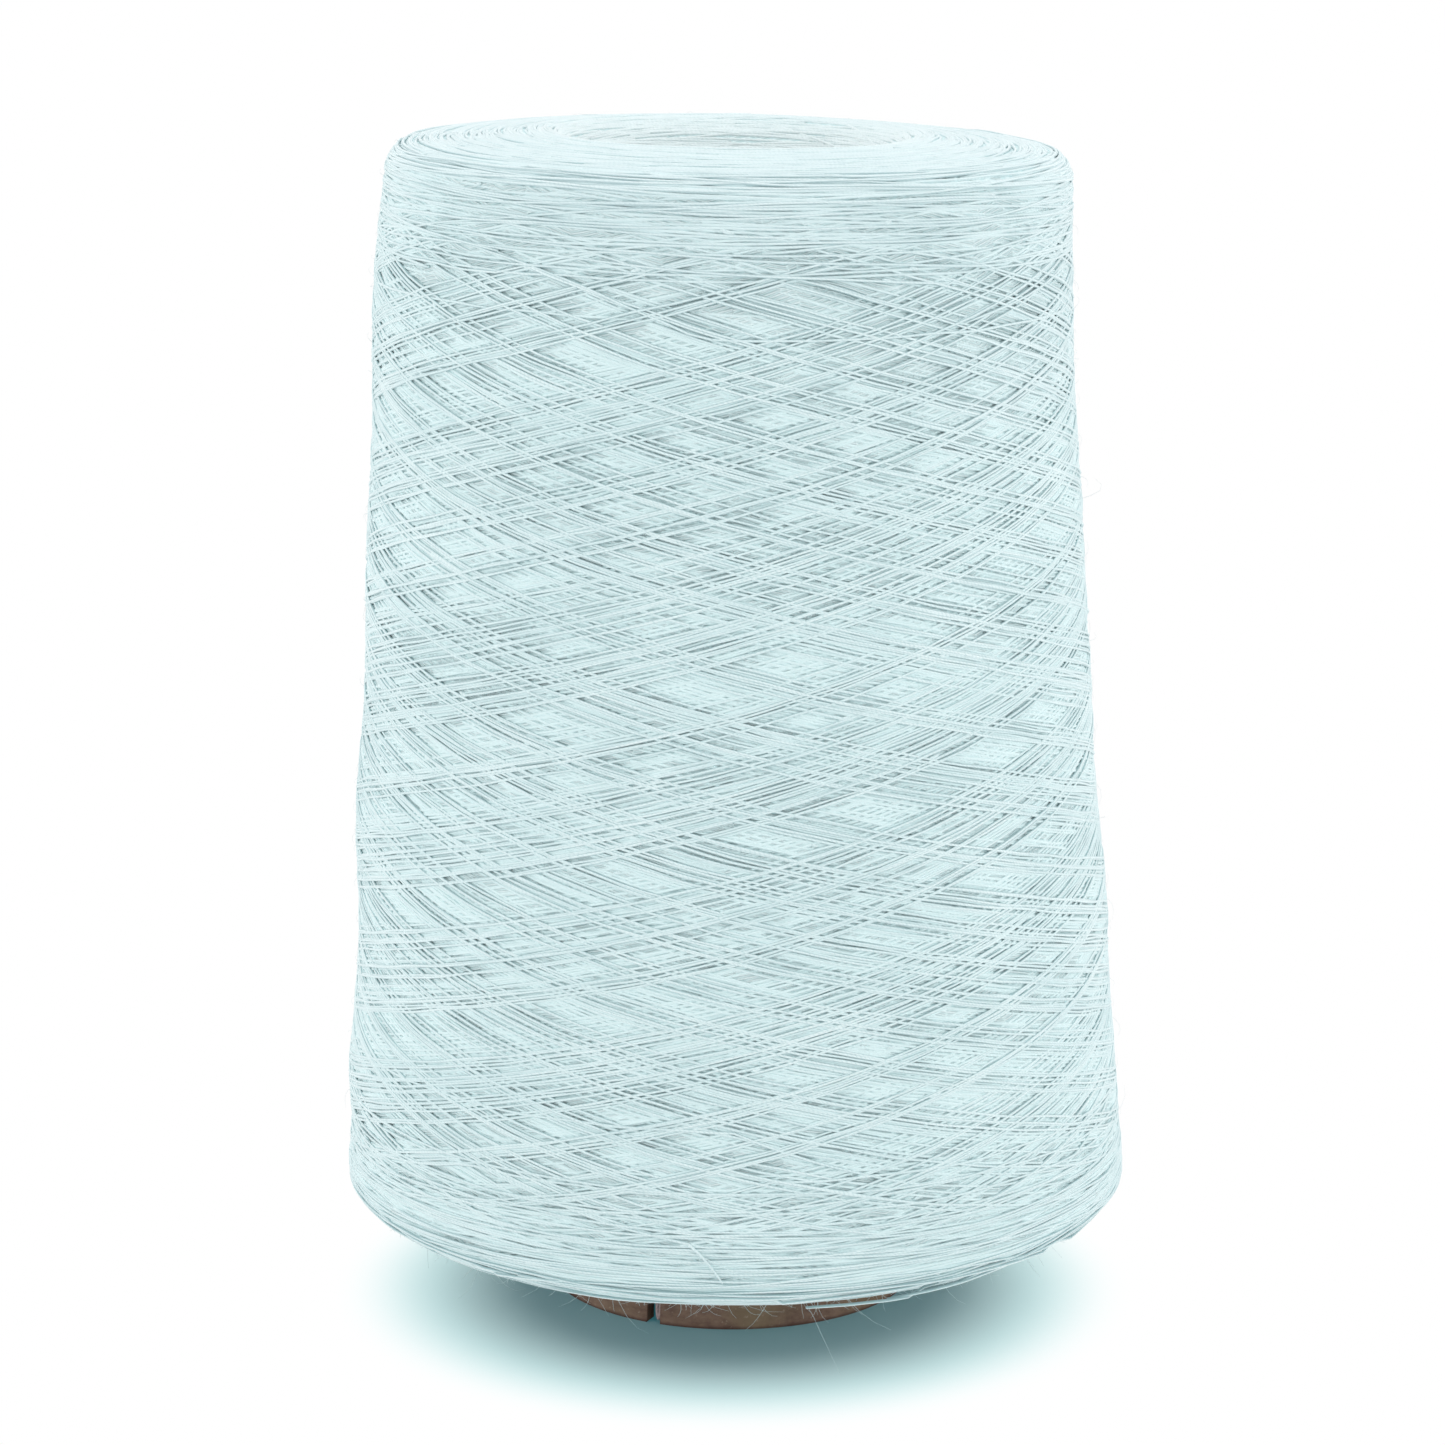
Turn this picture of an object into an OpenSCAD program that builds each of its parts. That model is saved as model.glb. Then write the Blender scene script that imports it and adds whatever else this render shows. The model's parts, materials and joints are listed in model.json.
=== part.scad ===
// Cone of crosswound thread on a tapered paper cone.
// Millimetres. +Z runs up the cone's axis, and the origin is the centre of the rim that it stands on.

/* [Paper cone] */
// Length of the paper cone along its axis
cone_len = 170; // [150:1:200]
// Outside diameter of the paper cone at its base
cone_base_d = 57; // [54:1:70]
// Taper of the paper cone, measured from its axis
cone_taper = 3.5; // [2.5:0.25:4]
// Thickness of the smooth paper inside the cone
liner_t = 0.5; // [0.3:0.1:0.8]
// Thickness of the rolled board that gives the cone its strength
board_t = 1.7; // [1.2:0.1:2.4]
// Thickness of the brown paper wrapped round the board
wrap_t = 0.4; // [0.3:0.1:0.6]
// Radius that rounds the outer edge of the nose
nose_round = 2; // [1:0.1:2.2]
// Width of the gap where the edges of the wrapped paper meet
seam_gap = 0.5; // [0.3:0.1:1]
// Place of that seam round the cone, in degrees
seam_angle = 60; // [0:5:355]

/* [Tail slit] */
// Clearance on each side of the thread in the slit
slit_clear = 0.9; // [0.1:0.05:1.2]
// Height of the slit above the base
slit_h = 6; // [5:0.5:9]
// Place of the slit round the cone, in degrees
slit_angle = -115; // [-180:1:180]

/* [Thread package] */
// Widest diameter of the package, just above its lower edge
package_d = 120; // [108:1:150]
// Taper of the package's side, measured from the axis
package_taper = 3.5; // [2.5:0.25:4]
// Bare length of the paper cone below the package
bare_base = 14; // [12:0.5:20]
// Height of the package's crown above the tip of the nose
crown_over = 5.5; // [4:0.5:9]
// Bare length of the nose inside the dimple of the crown
bare_nose = 2; // [1:0.5:3]
// Radius that rounds the lower edge of the package
lower_round = 4.7; // [3:0.1:8]
// Radius that rounds the upper edge of the package
upper_round = 5; // [3:0.1:8]
// Radius that rounds the thread down into the dimple
dimple_round = 6; // [4:0.5:8]
// How far the underside bulges down between the cone and the lower edge
underside_bulge = 1.2; // [0.5:0.1:2]

/* [Thread] */
// Diameter of the thread
thread_d = 0.46; // [0.4:0.02:0.7]
// Threads that lie side by side in one band of the outer turns
band_threads = 4; // [3:1:5]
// Clear gap between one outer turn and the turn that crosses over it
cross_gap = 0.5; // [0.45:0.05:0.8]
// Loops of the band on the crown, before it goes down the side
crown_loops = 8; // [6:1:8]
// Passes of the band up and down the side
side_passes = 9; // [5:2:9]
// Turns round the package in one pass up or down
turns_per_pass = 1.7; // [1.6:0.1:1.7]
// Inner radius of the band's first loop, beyond the lip of the dimple
first_loop_out = 1.5; // [1:0.5:3]
// Start of the band round the cone, in degrees
start_angle = 159; // [0:1:359]
// Loops of the first thread round the bare base
tail_loops = 2; // [1:1:3]
// Length of the thread's first end that lies inside the cone
tail_inside = 12; // [8:1:20]

/* [Hidden] */
$fn = 96;

cone_wall = liner_t + board_t + wrap_t;
crown_z = cone_len + crown_over;
band_w = band_threads * thread_d;
loop_rings = 24;
tube_sides = 6;
sag_share = 1 - cos(180 / loop_rings);

// The mass stops short of the outside by the two crossing layers of the band
layer_step = thread_d + cross_gap;
cut_over = 2;
mass_d = package_d - 2 * (thread_d + layer_step + sag_share * package_d / 2);
mass_top = crown_z - thread_d;
nose_meet_z = cone_len - bare_nose;
lower_z = bare_base + lower_round;
upper_z = mass_top - upper_round;
arc_steps = 8;

// Outside radius of the paper cone at a height
function cone_r(z) = cone_base_d / 2 - z * tan(cone_taper);

// Radius of a layer's face inside the cone's wall, a depth out from the bore
function wall_r(depth, z) = cone_r(z) - cone_wall + depth;

// Height of the rounded nose at a depth out from the bore
function nose_z(depth) =
    let (past = max(0, depth - (cone_wall - nose_round)))
    cone_len - nose_round + sqrt(nose_round * nose_round - past * past);

// Radius of the mass's side at a height
function side_r(z) = mass_d / 2 - (z - lower_z) * tan(package_taper);

// Radius of the circle centre that rounds an edge of the side at a height
function edge_r(z, radius) = side_r(z) - radius / cos(package_taper);

// Points of an arc from one angle to another
function arc(r, z, radius, from, to) = [for (i = [0:arc_steps])
    let (a = from + (to - from) * i / arc_steps)
    [r + radius * cos(a), z + radius * sin(a)]];

upper_r = edge_r(upper_z, upper_round);
lip_r = cone_r(nose_meet_z) + dimple_round;
lip_z = mass_top - dimple_round;
foot_r = cone_r(bare_base);
lower_r = edge_r(lower_z, lower_round);

// Route of the outer band, measured down over the mass from its first loop
bend_deg = 30;
climb_deg = 20;
steepest_deg = 16;
first_r = lip_r + first_loop_out + band_w / 2;
crown_run = upper_r - first_r;
edge_run = upper_round * (90 - package_taper) * PI / 180;
side_run = (upper_z - lower_z) / cos(package_taper);
turn_room = 1.6 * band_w;
top_turn_u = crown_run + edge_run + band_w + turn_room;
low_turn_u = crown_run + edge_run + side_run - band_w;
pass_pair = 2 * turns_per_pass;
bend_share = bend_deg / 360 / pass_pair;
climb_share = climb_deg / 360 / pass_pair;
band_loops = crown_loops + side_passes * turns_per_pass;
tuck_rings = 2;
tuck_depth = 1.5 * thread_d;

// A rise from 0 to 1 with level ends
function smooth(x) = let (t = min(1, max(0, x))) t * t * (3 - 2 * t);

// Share of a pair of passes at a number of turns after the band left the crown
function pair_share(turns) = turns / pass_pair - floor(turns / pass_pair);

// How far down the side the band is, from 0 at its top turn to 1 at its low turn
function travel(turns) =
    let (
        q = pair_share(turns),
        top_off = min(q, 1 - q),
        low_off = abs(q - 0.5),
        e = bend_share,
        f = top_off < e ? top_off * top_off / e + e
            : low_off < e ? 1 - low_off * low_off / e - e
            : 2 * top_off
    ) (f - e) / (1 - 2 * e);

// Which layer the band is in: 0 on its way down and 1 on its way up, over the others
function layer(turns) =
    let (q = pair_share(turns), c = climb_share)
    turns < 0.5 ? 0
        : q < c ? 1 - smooth((q + c) / (2 * c))
        : q > 1 - c ? 1 - smooth((q - 1 + c) / (2 * c))
        : smooth((q - 0.5 + c) / (2 * c));

// Place on the mass's surface a way down from the first loop: radius, height, angle of its normal
function on_mass(u) =
    let (past_crown = u - crown_run, past_edge = past_crown - edge_run)
    past_crown < 0 ? [first_r + u, mass_top, 90]
        : past_edge < 0
            ? let (a = 90 - past_crown / upper_round * 180 / PI)
                [upper_r + upper_round * cos(a), upper_z + upper_round * sin(a), a]
            : [
                upper_r + upper_round * cos(package_taper) + past_edge * sin(package_taper),
                upper_z + upper_round * sin(package_taper) - past_edge * cos(package_taper),
                package_taper
            ];

// How far the band is down the surface after a number of loops
function band_u(loops) =
    let (turns = loops - crown_loops, crown_end = top_turn_u - turn_room)
    turns < 0 ? crown_end * loops / crown_loops
        : top_turn_u + (low_turn_u - top_turn_u) * travel(turns)
            - turn_room * (1 - smooth(turns * 2));

// Centre of the band after a number of loops: radius, height and normal angle
function band_spot(loops) =
    let (
        s = on_mass(band_u(loops)),
        end_off = min(loops, band_loops - loops) * loop_rings,
        tuck = tuck_depth * (1 - smooth(end_off / tuck_rings)),
        off = thread_d / 2 + sag_share * s[0] * cos(s[2])
            + layer_step * layer(loops - crown_loops) - tuck
    ) [s[0] + off * cos(s[2]), s[1] + off * sin(s[2]), s[2]];

// A point at a radius, height and angle round the cone
function around(r, z, a) = [r * cos(a), r * sin(a), z];

function unit(v) = v / norm(v);

// One ring of a tube: a flattened hexagon across its path, with its flat side along the normal
function ring(centre, along, normal, width, height) =
    let (
        side = unit(cross(normal, along)),
        up = unit(cross(along, side)),
        half_up = height / 2 / sin(60)
    ) [for (k = [0:tube_sides - 1])
        let (a = 360 * k / tube_sides)
        centre + side * width / 2 * cos(a) + up * half_up * sin(a)];

// Triangles that join rings into one closed tube
function tube_faces(rings) = [
    for (i = [0:rings - 2], k = [0:tube_sides - 1], half = [0, 1])
        let (
            n = (k + 1) % tube_sides,
            a = i * tube_sides + k,
            b = i * tube_sides + n,
            c = (i + 1) * tube_sides + k,
            d = (i + 1) * tube_sides + n
        ) half == 0 ? [a, b, d] : [a, d, c],
    for (k = [1:tube_sides - 2]) [0, k + 1, k],
    for (k = [1:tube_sides - 2])
        let (last = (rings - 1) * tube_sides) [last, last + k, last + k + 1]
];

// A tube along centres, with the outward normal at each
module tube(centres, normals, width, height) {
    last = len(centres) - 1;
    rings = [for (i = [0:last])
        ring(centres[i], unit(centres[min(i + 1, last)] - centres[max(i - 1, 0)]),
            normals[i], width, height)];
    polyhedron([for (r = rings, p = r) p], tube_faces(last + 1), convexity = 10);
}

// Least clear gap of the band to itself, from where it passes the same place round the cone
gap_steps = 3 * loop_rings;
function band_gap() = min([for (step = [0:gap_steps - 1])
    let (
        spots = [for (n = [0:floor(band_loops - (step + 1) / gap_steps)])
            band_spot(n + step / gap_steps)],
        count = len(spots)
    )
    for (i = [0:count - 2], j = [i + 1:count - 1])
        let (
            away = [spots[j][0] - spots[i][0], spots[j][1] - spots[i][1]],
            a = (spots[i][2] + spots[j][2]) / 2,
            out = abs(away[0] * cos(a) + away[1] * sin(a)),
            down = abs(away[0] * sin(a) - away[1] * cos(a))
        ) max(out * (1 - sag_share) - thread_d, down - band_w / cos(steepest_deg))]);
echo(least_gap_of_the_outer_turns = band_gap());

// One layer of the cone's wall, between two depths out from the bore
module cone_layer(inner, outer) {
    top = [for (i = [arc_steps:-1:0])
        let (d = inner + (outer - inner) * i / arc_steps, z = nose_z(d)) [wall_r(d, z), z]];
    difference() {
        rotate_extrude()
            polygon(concat([[wall_r(inner, 0), 0], [wall_r(outer, 0), 0]], top));
        tail_slit();
    }
}

// The cut through the base rim that holds the thread's first end
slit_w = thread_d + 2 * slit_clear;
module tail_slit() {
    rotate(slit_angle)
        translate([wall_r(0, 0) - cut_over, -slit_w / 2, -cut_over])
            cube([cone_wall + 2 * cut_over, slit_w, slit_h + cut_over]);
}

// Smooth paper that lines the bore
module cone_liner() {
    color("burlywood") cone_layer(0, liner_t);
}

// Rolled board, which carries the package and stands on its rim
module cone_board() {
    color("tan") cone_layer(liner_t, liner_t + board_t);
}

// Brown paper round the outside, with its seam
module cone_wrap() {
    color("sienna")
        difference() {
            cone_layer(liner_t + board_t, cone_wall);
            rotate(seam_angle)
                translate([0, -seam_gap / 2, -cut_over])
                    cube([cone_base_d, seam_gap, cone_len + 2 * cut_over]);
        }
}

// The thread's first end: out of the package, round the bare base, through the slit and up inside
tail_top_z = bare_base + thread_d;
tail_low_z = slit_h / 2 + 2 * thread_d;
tail_steps = tail_loops * loop_rings;
tail_wall_gap = 0.1;

// Centre of the first thread at a share of its way round the base
function tail_centre(share) =
    let (
        z = tail_top_z + (tail_low_z - tail_top_z) * share,
        rest_r = cone_r(z) + thread_d / 2 + tail_wall_gap,
        r = share < 1 ? rest_r / (1 - sag_share) : rest_r
    ) around(r, z, slit_angle + 360 * tail_loops * (share - 1));

// Least clear gap of that thread's loops to each other
function tail_gap() = min([for (i = [0:tail_steps - loop_rings])
    norm(tail_centre((i + loop_rings) / tail_steps) - tail_centre(i / tail_steps)) - thread_d]);
echo(least_gap_of_the_first_thread = tail_gap());

module starter_tail() {
    drop = thread_d;
    bore_r = wall_r(0, tail_low_z) - thread_d / 2 - tail_wall_gap;
    loops = [for (i = [0:tail_steps]) tail_centre(i / tail_steps)];
    through = [
        around(cone_r(tail_low_z) - drop, tail_low_z - drop, slit_angle),
        around(bore_r + drop, tail_low_z - drop, slit_angle),
        around(bore_r, tail_low_z, slit_angle),
        around(bore_r - tail_inside * tan(cone_taper), tail_low_z + tail_inside, slit_angle)
    ];
    down = [0, 0, -1];
    out = around(1, 0, slit_angle);
    at_slit = unit(out - around(1, 0, slit_angle + 90));
    on_loops = [for (i = [0:tail_steps - 1]) unit([loops[i][0], loops[i][1], 0])];
    normals = concat(on_loops, [at_slit, down, down, down, -out]);
    color("azure") tube(concat(loops, through), normals, thread_d, thread_d);
}

// The wound thread under its outer layer, from the cone out to the edges of the package
module yarn_mass() {
    mid_r = (foot_r + lower_r) / 2;
    color("lightcyan")
        rotate_extrude()
            polygon(concat(
                [[foot_r, bare_base], [mid_r, bare_base - underside_bulge]],
                arc(lower_r, lower_z, lower_round, -90, package_taper),
                arc(upper_r, upper_z, upper_round, package_taper, 90),
                arc(lip_r, lip_z, dimple_round, 90, 180),
                [[cone_r(nose_meet_z), nose_meet_z]]
            ));
}

// The outer layer: one band of threads that circles the crown and then crosses up and down the side
module outer_turns() {
    steps = floor(band_loops * loop_rings + 0.001);
    spots = [for (i = [0:steps]) band_spot(i / loop_rings)];
    turn = 360 / loop_rings;
    centres = [for (i = [0:steps]) around(spots[i][0], spots[i][1], start_angle + i * turn)];
    normals = [for (i = [0:steps])
        around(cos(spots[i][2]), sin(spots[i][2]), start_angle + i * turn)];
    color("azure") tube(centres, normals, band_w, thread_d);
}

cone_liner();
cone_board();
cone_wrap();
starter_tail();
yarn_mass();
outer_turns();
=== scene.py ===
"""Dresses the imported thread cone: crosswound thread, paper cone, loose ends and a plain studio.

The thread is wound in code, one turn after the other. A height field holds the top of what is
wound so far, each new stretch lies taut over it, and what later turns bury is left out. Lengths
are in metres, and a place along the outline is measured from the nose, over the crown and down.
"""

from __future__ import annotations

import json
import logging
import math
from dataclasses import dataclass, field
from enum import Enum

import bmesh
import bpy
import numpy as np
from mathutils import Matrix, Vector

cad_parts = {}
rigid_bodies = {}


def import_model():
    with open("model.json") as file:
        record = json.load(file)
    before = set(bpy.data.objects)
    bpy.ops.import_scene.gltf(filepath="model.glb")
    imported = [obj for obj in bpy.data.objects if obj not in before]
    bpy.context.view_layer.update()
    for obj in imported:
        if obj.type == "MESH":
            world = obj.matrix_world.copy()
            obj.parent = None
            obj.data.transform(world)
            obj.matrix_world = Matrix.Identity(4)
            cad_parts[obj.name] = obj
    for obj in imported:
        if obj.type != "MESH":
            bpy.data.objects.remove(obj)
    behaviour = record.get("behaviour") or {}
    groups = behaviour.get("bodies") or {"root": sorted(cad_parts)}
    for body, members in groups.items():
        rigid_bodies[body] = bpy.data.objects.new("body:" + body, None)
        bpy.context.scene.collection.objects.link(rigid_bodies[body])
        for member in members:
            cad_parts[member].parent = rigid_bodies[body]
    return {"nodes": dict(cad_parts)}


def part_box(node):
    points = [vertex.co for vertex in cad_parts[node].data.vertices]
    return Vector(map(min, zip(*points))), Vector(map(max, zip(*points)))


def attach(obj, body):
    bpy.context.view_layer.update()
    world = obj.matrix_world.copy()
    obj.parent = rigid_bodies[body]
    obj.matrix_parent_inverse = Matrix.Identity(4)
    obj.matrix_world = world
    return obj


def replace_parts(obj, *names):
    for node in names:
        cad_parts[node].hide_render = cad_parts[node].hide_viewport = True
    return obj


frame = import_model()
log = logging.getLogger("thread_cone")

MM = 0.001
TURN = 2 * math.pi
BODY = "root"
SEED = 27
MOST_TRIANGLES = 188_000
TUBE_SIDES = 6
TAPER = math.radians(3.5)
SAME_PLACE = 1e-7
WHITE = (1.0, 1.0, 1.0)

Array = np.ndarray
Colour = tuple[float, float, float]
Point = tuple[float, float, float]
Range = tuple[float, float]
Waves = tuple[tuple[float, float], ...]


class Slot(Enum):
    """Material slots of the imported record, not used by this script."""

    THREAD = "thread"
    WOUND = "wound_thread"


class Stretch(Enum):
    """Stretches of the package's outline."""

    DIMPLE = "dimple"
    CROWN = "crown"
    UPPER_EDGE = "upper_edge"
    SIDE = "side"
    LOWER_EDGE = "lower_edge"
    UNDERSIDE = "underside"


class ThreadMap(Enum):
    """Maps of a thread piece: turns along and share round, outwardness and depth, and the bake's."""

    ALONG = "ThreadAlong"
    LIE = "ThreadLie"
    BAKE = "OFBake"


def smooth(x: Array | float) -> Array | float:
    """Returns a rise from 0 to 1 with level ends, as x goes from 0 to 1."""
    t = np.clip(x, 0.0, 1.0)
    return t * t * (3 - 2 * t)


def ramp(x: Array | float, over: Range) -> Array | float:
    """Returns a rise from 0 to 1 with level ends over a start and a length."""
    return smooth((x - over[0]) / over[1])


def wander(rng: np.random.Generator, at: Array, waves: Waves) -> Array:
    """Adds up slow waves of random phase.

    Args:
        rng: Source of the phases.
        at: Place along the thread.
        waves: Length and height of each wave.

    Returns:
        The height at each place.
    """
    total = np.zeros(len(at))
    for length, height in waves:
        stretch = rng.uniform(0.8, 1.25)
        total += height * np.sin(TURN * (at / (length * stretch) + rng.uniform()))
    return total


def cylindrical(r: Array, angle: Array, z: Array) -> Array:
    """Returns points of given radius, angle and height, one in each row."""
    return np.stack([r * np.cos(angle), r * np.sin(angle), z], 1)


def put_in_scene(name: str, data: bpy.types.ID) -> bpy.types.Object:
    """Makes an object and links it.

    Args:
        name: The object's name.
        data: Its mesh, curve, lamp or camera.

    Returns:
        The object.
    """
    made = bpy.data.objects.new(name, data)
    bpy.context.scene.collection.objects.link(made)
    return made


def put_mesh(name: str, work: bmesh.types.BMesh) -> bpy.types.Object:
    """Ends a bmesh in an object of its own.

    Args:
        name: Name of the object and its mesh.
        work: The finished bmesh, which is freed.

    Returns:
        The object.
    """
    mesh = bpy.data.meshes.new(name)
    work.to_mesh(mesh)
    work.free()
    return put_in_scene(name, mesh)


# ---------------------------------------------------------------------------------------------
# Shader graphs


class Value:
    """A shader value that takes part in Python arithmetic and adds its Math nodes."""

    def __init__(self, graph: Graph, socket: bpy.types.NodeSocket) -> None:
        """Wraps a socket of a graph."""
        self.graph = graph
        self.socket = socket

    def math(self, operation: str, *others: Value | float) -> Value:
        """Adds a Math node.

        Args:
            operation: The node's operation.
            others: Its further inputs.

        Returns:
            The node's output.
        """
        sockets = dict(enumerate((self, *others)))
        return self.graph.add("ShaderNodeMath", {"operation": operation}, sockets).out(0)

    def __add__(self, other: Value | float) -> Value:
        """Returns self + other."""
        return self.math("ADD", other)

    __radd__ = __add__

    def __sub__(self, other: Value | float) -> Value:
        """Returns self - other."""
        return self.math("SUBTRACT", other)

    def __rsub__(self, other: float) -> Value:
        """Returns other - self."""
        return (self * -1.0) + other

    def __mul__(self, other: Value | float) -> Value:
        """Returns self * other."""
        return self.math("MULTIPLY", other)

    __rmul__ = __mul__

    def __truediv__(self, other: Value | float) -> Value:
        """Returns self / other."""
        return self.math("DIVIDE", other)

    def sine(self) -> Value:
        """Returns the sine of self."""
        return self.math("SINE")

    def hypot(self, other: Value) -> Value:
        """Returns the long side of a right triangle whose legs are self and other."""
        return (self * self + other * other).math("SQRT")

    def between(self, low: float, high: float) -> Value:
        """Adds a smooth step.

        Args:
            low: Where it begins to rise from 0.
            high: Where it reaches 1.

        Returns:
            The step at self.
        """
        sockets = {"Value": self, "From Min": low, "From Max": high}
        made = self.graph.add("ShaderNodeMapRange", {"interpolation_type": "SMOOTHSTEP"}, sockets)
        return made.out("Result")


class Added:
    """A node that was added to a graph."""

    def __init__(self, graph: Graph, node: bpy.types.Node) -> None:
        """Wraps a node of a graph."""
        self.graph = graph
        self.node = node

    def out(self, name: str | int) -> Value:
        """Returns the output of that name or number."""
        return Value(self.graph, self.node.outputs[name])


class Graph:
    """The node tree of one material or world."""

    def __init__(self, owner: bpy.types.Material | bpy.types.World) -> None:
        """Empties the tree of its owner.

        Args:
            owner: The material or world.
        """
        owner.use_nodes = True
        self.owner = owner
        self.tree = owner.node_tree
        self.tree.nodes.clear()

    @classmethod
    def material(cls, name: str) -> Graph:
        """Returns the tree of a new material."""
        return cls(bpy.data.materials.new(name))

    def add(
        self,
        kind: str,
        settings: dict[str, object] | None = None,
        sockets: dict[str | int, object] | None = None,
    ) -> Added:
        """Adds a node.

        Args:
            kind: The node's type.
            settings: Properties of the node, set before its sockets.
            sockets: Value or link of each input, by name or number.

        Returns:
            The node, wrapped.
        """
        node = self.tree.nodes.new(kind)
        for name, value in (settings or {}).items():
            setattr(node, name, value)
        for name, value in (sockets or {}).items():
            if isinstance(value, Value):
                self.tree.links.new(value.socket, node.inputs[name])
            elif isinstance(value, tuple) and len(node.inputs[name].default_value) == 4:
                node.inputs[name].default_value = (*value, 1.0)
            else:
                node.inputs[name].default_value = value
        return Added(self, node)

    def mix(self, share: Value | float, first: Value | Colour, second: Value | Colour) -> Value:
        """Mixes two colours.

        Args:
            share: Share of the second colour.
            first: Colour at share 0.
            second: Colour at share 1.

        Returns:
            The mixed colour.
        """
        sockets = {0: share, 6: first, 7: second}
        return self.add("ShaderNodeMix", {"data_type": "RGBA"}, sockets).out(2)

    def split(self, vector: Value) -> tuple[Value, Value, Value]:
        """Returns the three parts of a vector."""
        parts = self.add("ShaderNodeSeparateXYZ", sockets={"Vector": vector})
        return parts.out("X"), parts.out("Y"), parts.out("Z")

    def place(self) -> tuple[Value, Value, Value, Value]:
        """Returns the Object coordinates as a vector and as x, y and z."""
        where = self.add("ShaderNodeTexCoord").out("Object")
        return where, *self.split(where)

    def uv(self, which: ThreadMap) -> tuple[Value, Value]:
        """Returns the two parts of a thread's map."""
        spot = self.add("ShaderNodeUVMap", {"uv_map": which.value}).out("UV")
        return self.split(spot)[:2]

    def noise(self, where: Value, scale: float, detail: float = 2.0, rough: float = 0.5) -> Value:
        """Returns a noise of the given scale at a vector."""
        sockets = {"Vector": where, "Scale": scale, "Detail": detail, "Roughness": rough}
        return self.add("ShaderNodeTexNoise", sockets=sockets).out(0)

    def vector(self, x: Value | float, y: Value | float, z: Value | float) -> Value:
        """Returns a vector of three values."""
        return self.add("ShaderNodeCombineXYZ", sockets={"X": x, "Y": y, "Z": z}).out("Vector")

    def bump(self, height: Value, distance: float) -> Value:
        """Returns a normal bumped by a height, which is in units of distance."""
        sockets = {"Height": height, "Distance": distance, "Strength": 1.0}
        return self.add("ShaderNodeBump", sockets=sockets).out("Normal")

    def emission(self, colour: Value | Colour) -> Value:
        """Returns a glow of the given colour."""
        return self.add("ShaderNodeEmission", sockets={"Color": colour, "Strength": 1.0}).out("Emission")

    def matte(self, colour: Colour) -> Value:
        """Returns a plain matte surface of the given colour."""
        return self.add("ShaderNodeBsdfDiffuse", sockets={"Color": colour}).out("BSDF")

    def shown_to_camera(self, otherwise: Value, shown: Value) -> Value:
        """Returns one shader for what the camera sees and another for the light."""
        rays = self.add("ShaderNodeLightPath").out("Is Camera Ray")
        return self.add("ShaderNodeMixShader", sockets={0: rays, 1: otherwise, 2: shown}).out(0)

    def surface(self, sockets: dict[str | int, object]) -> bpy.types.Material:
        """Ends the tree in a Principled BSDF.

        Args:
            sockets: Value or link of each of its inputs.

        Returns:
            The material.
        """
        shader = self.add("ShaderNodeBsdfPrincipled", sockets=sockets).out("BSDF")
        self.add("ShaderNodeOutputMaterial", sockets={"Surface": shader})
        return self.owner


# ---------------------------------------------------------------------------------------------
# Finishes


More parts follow.
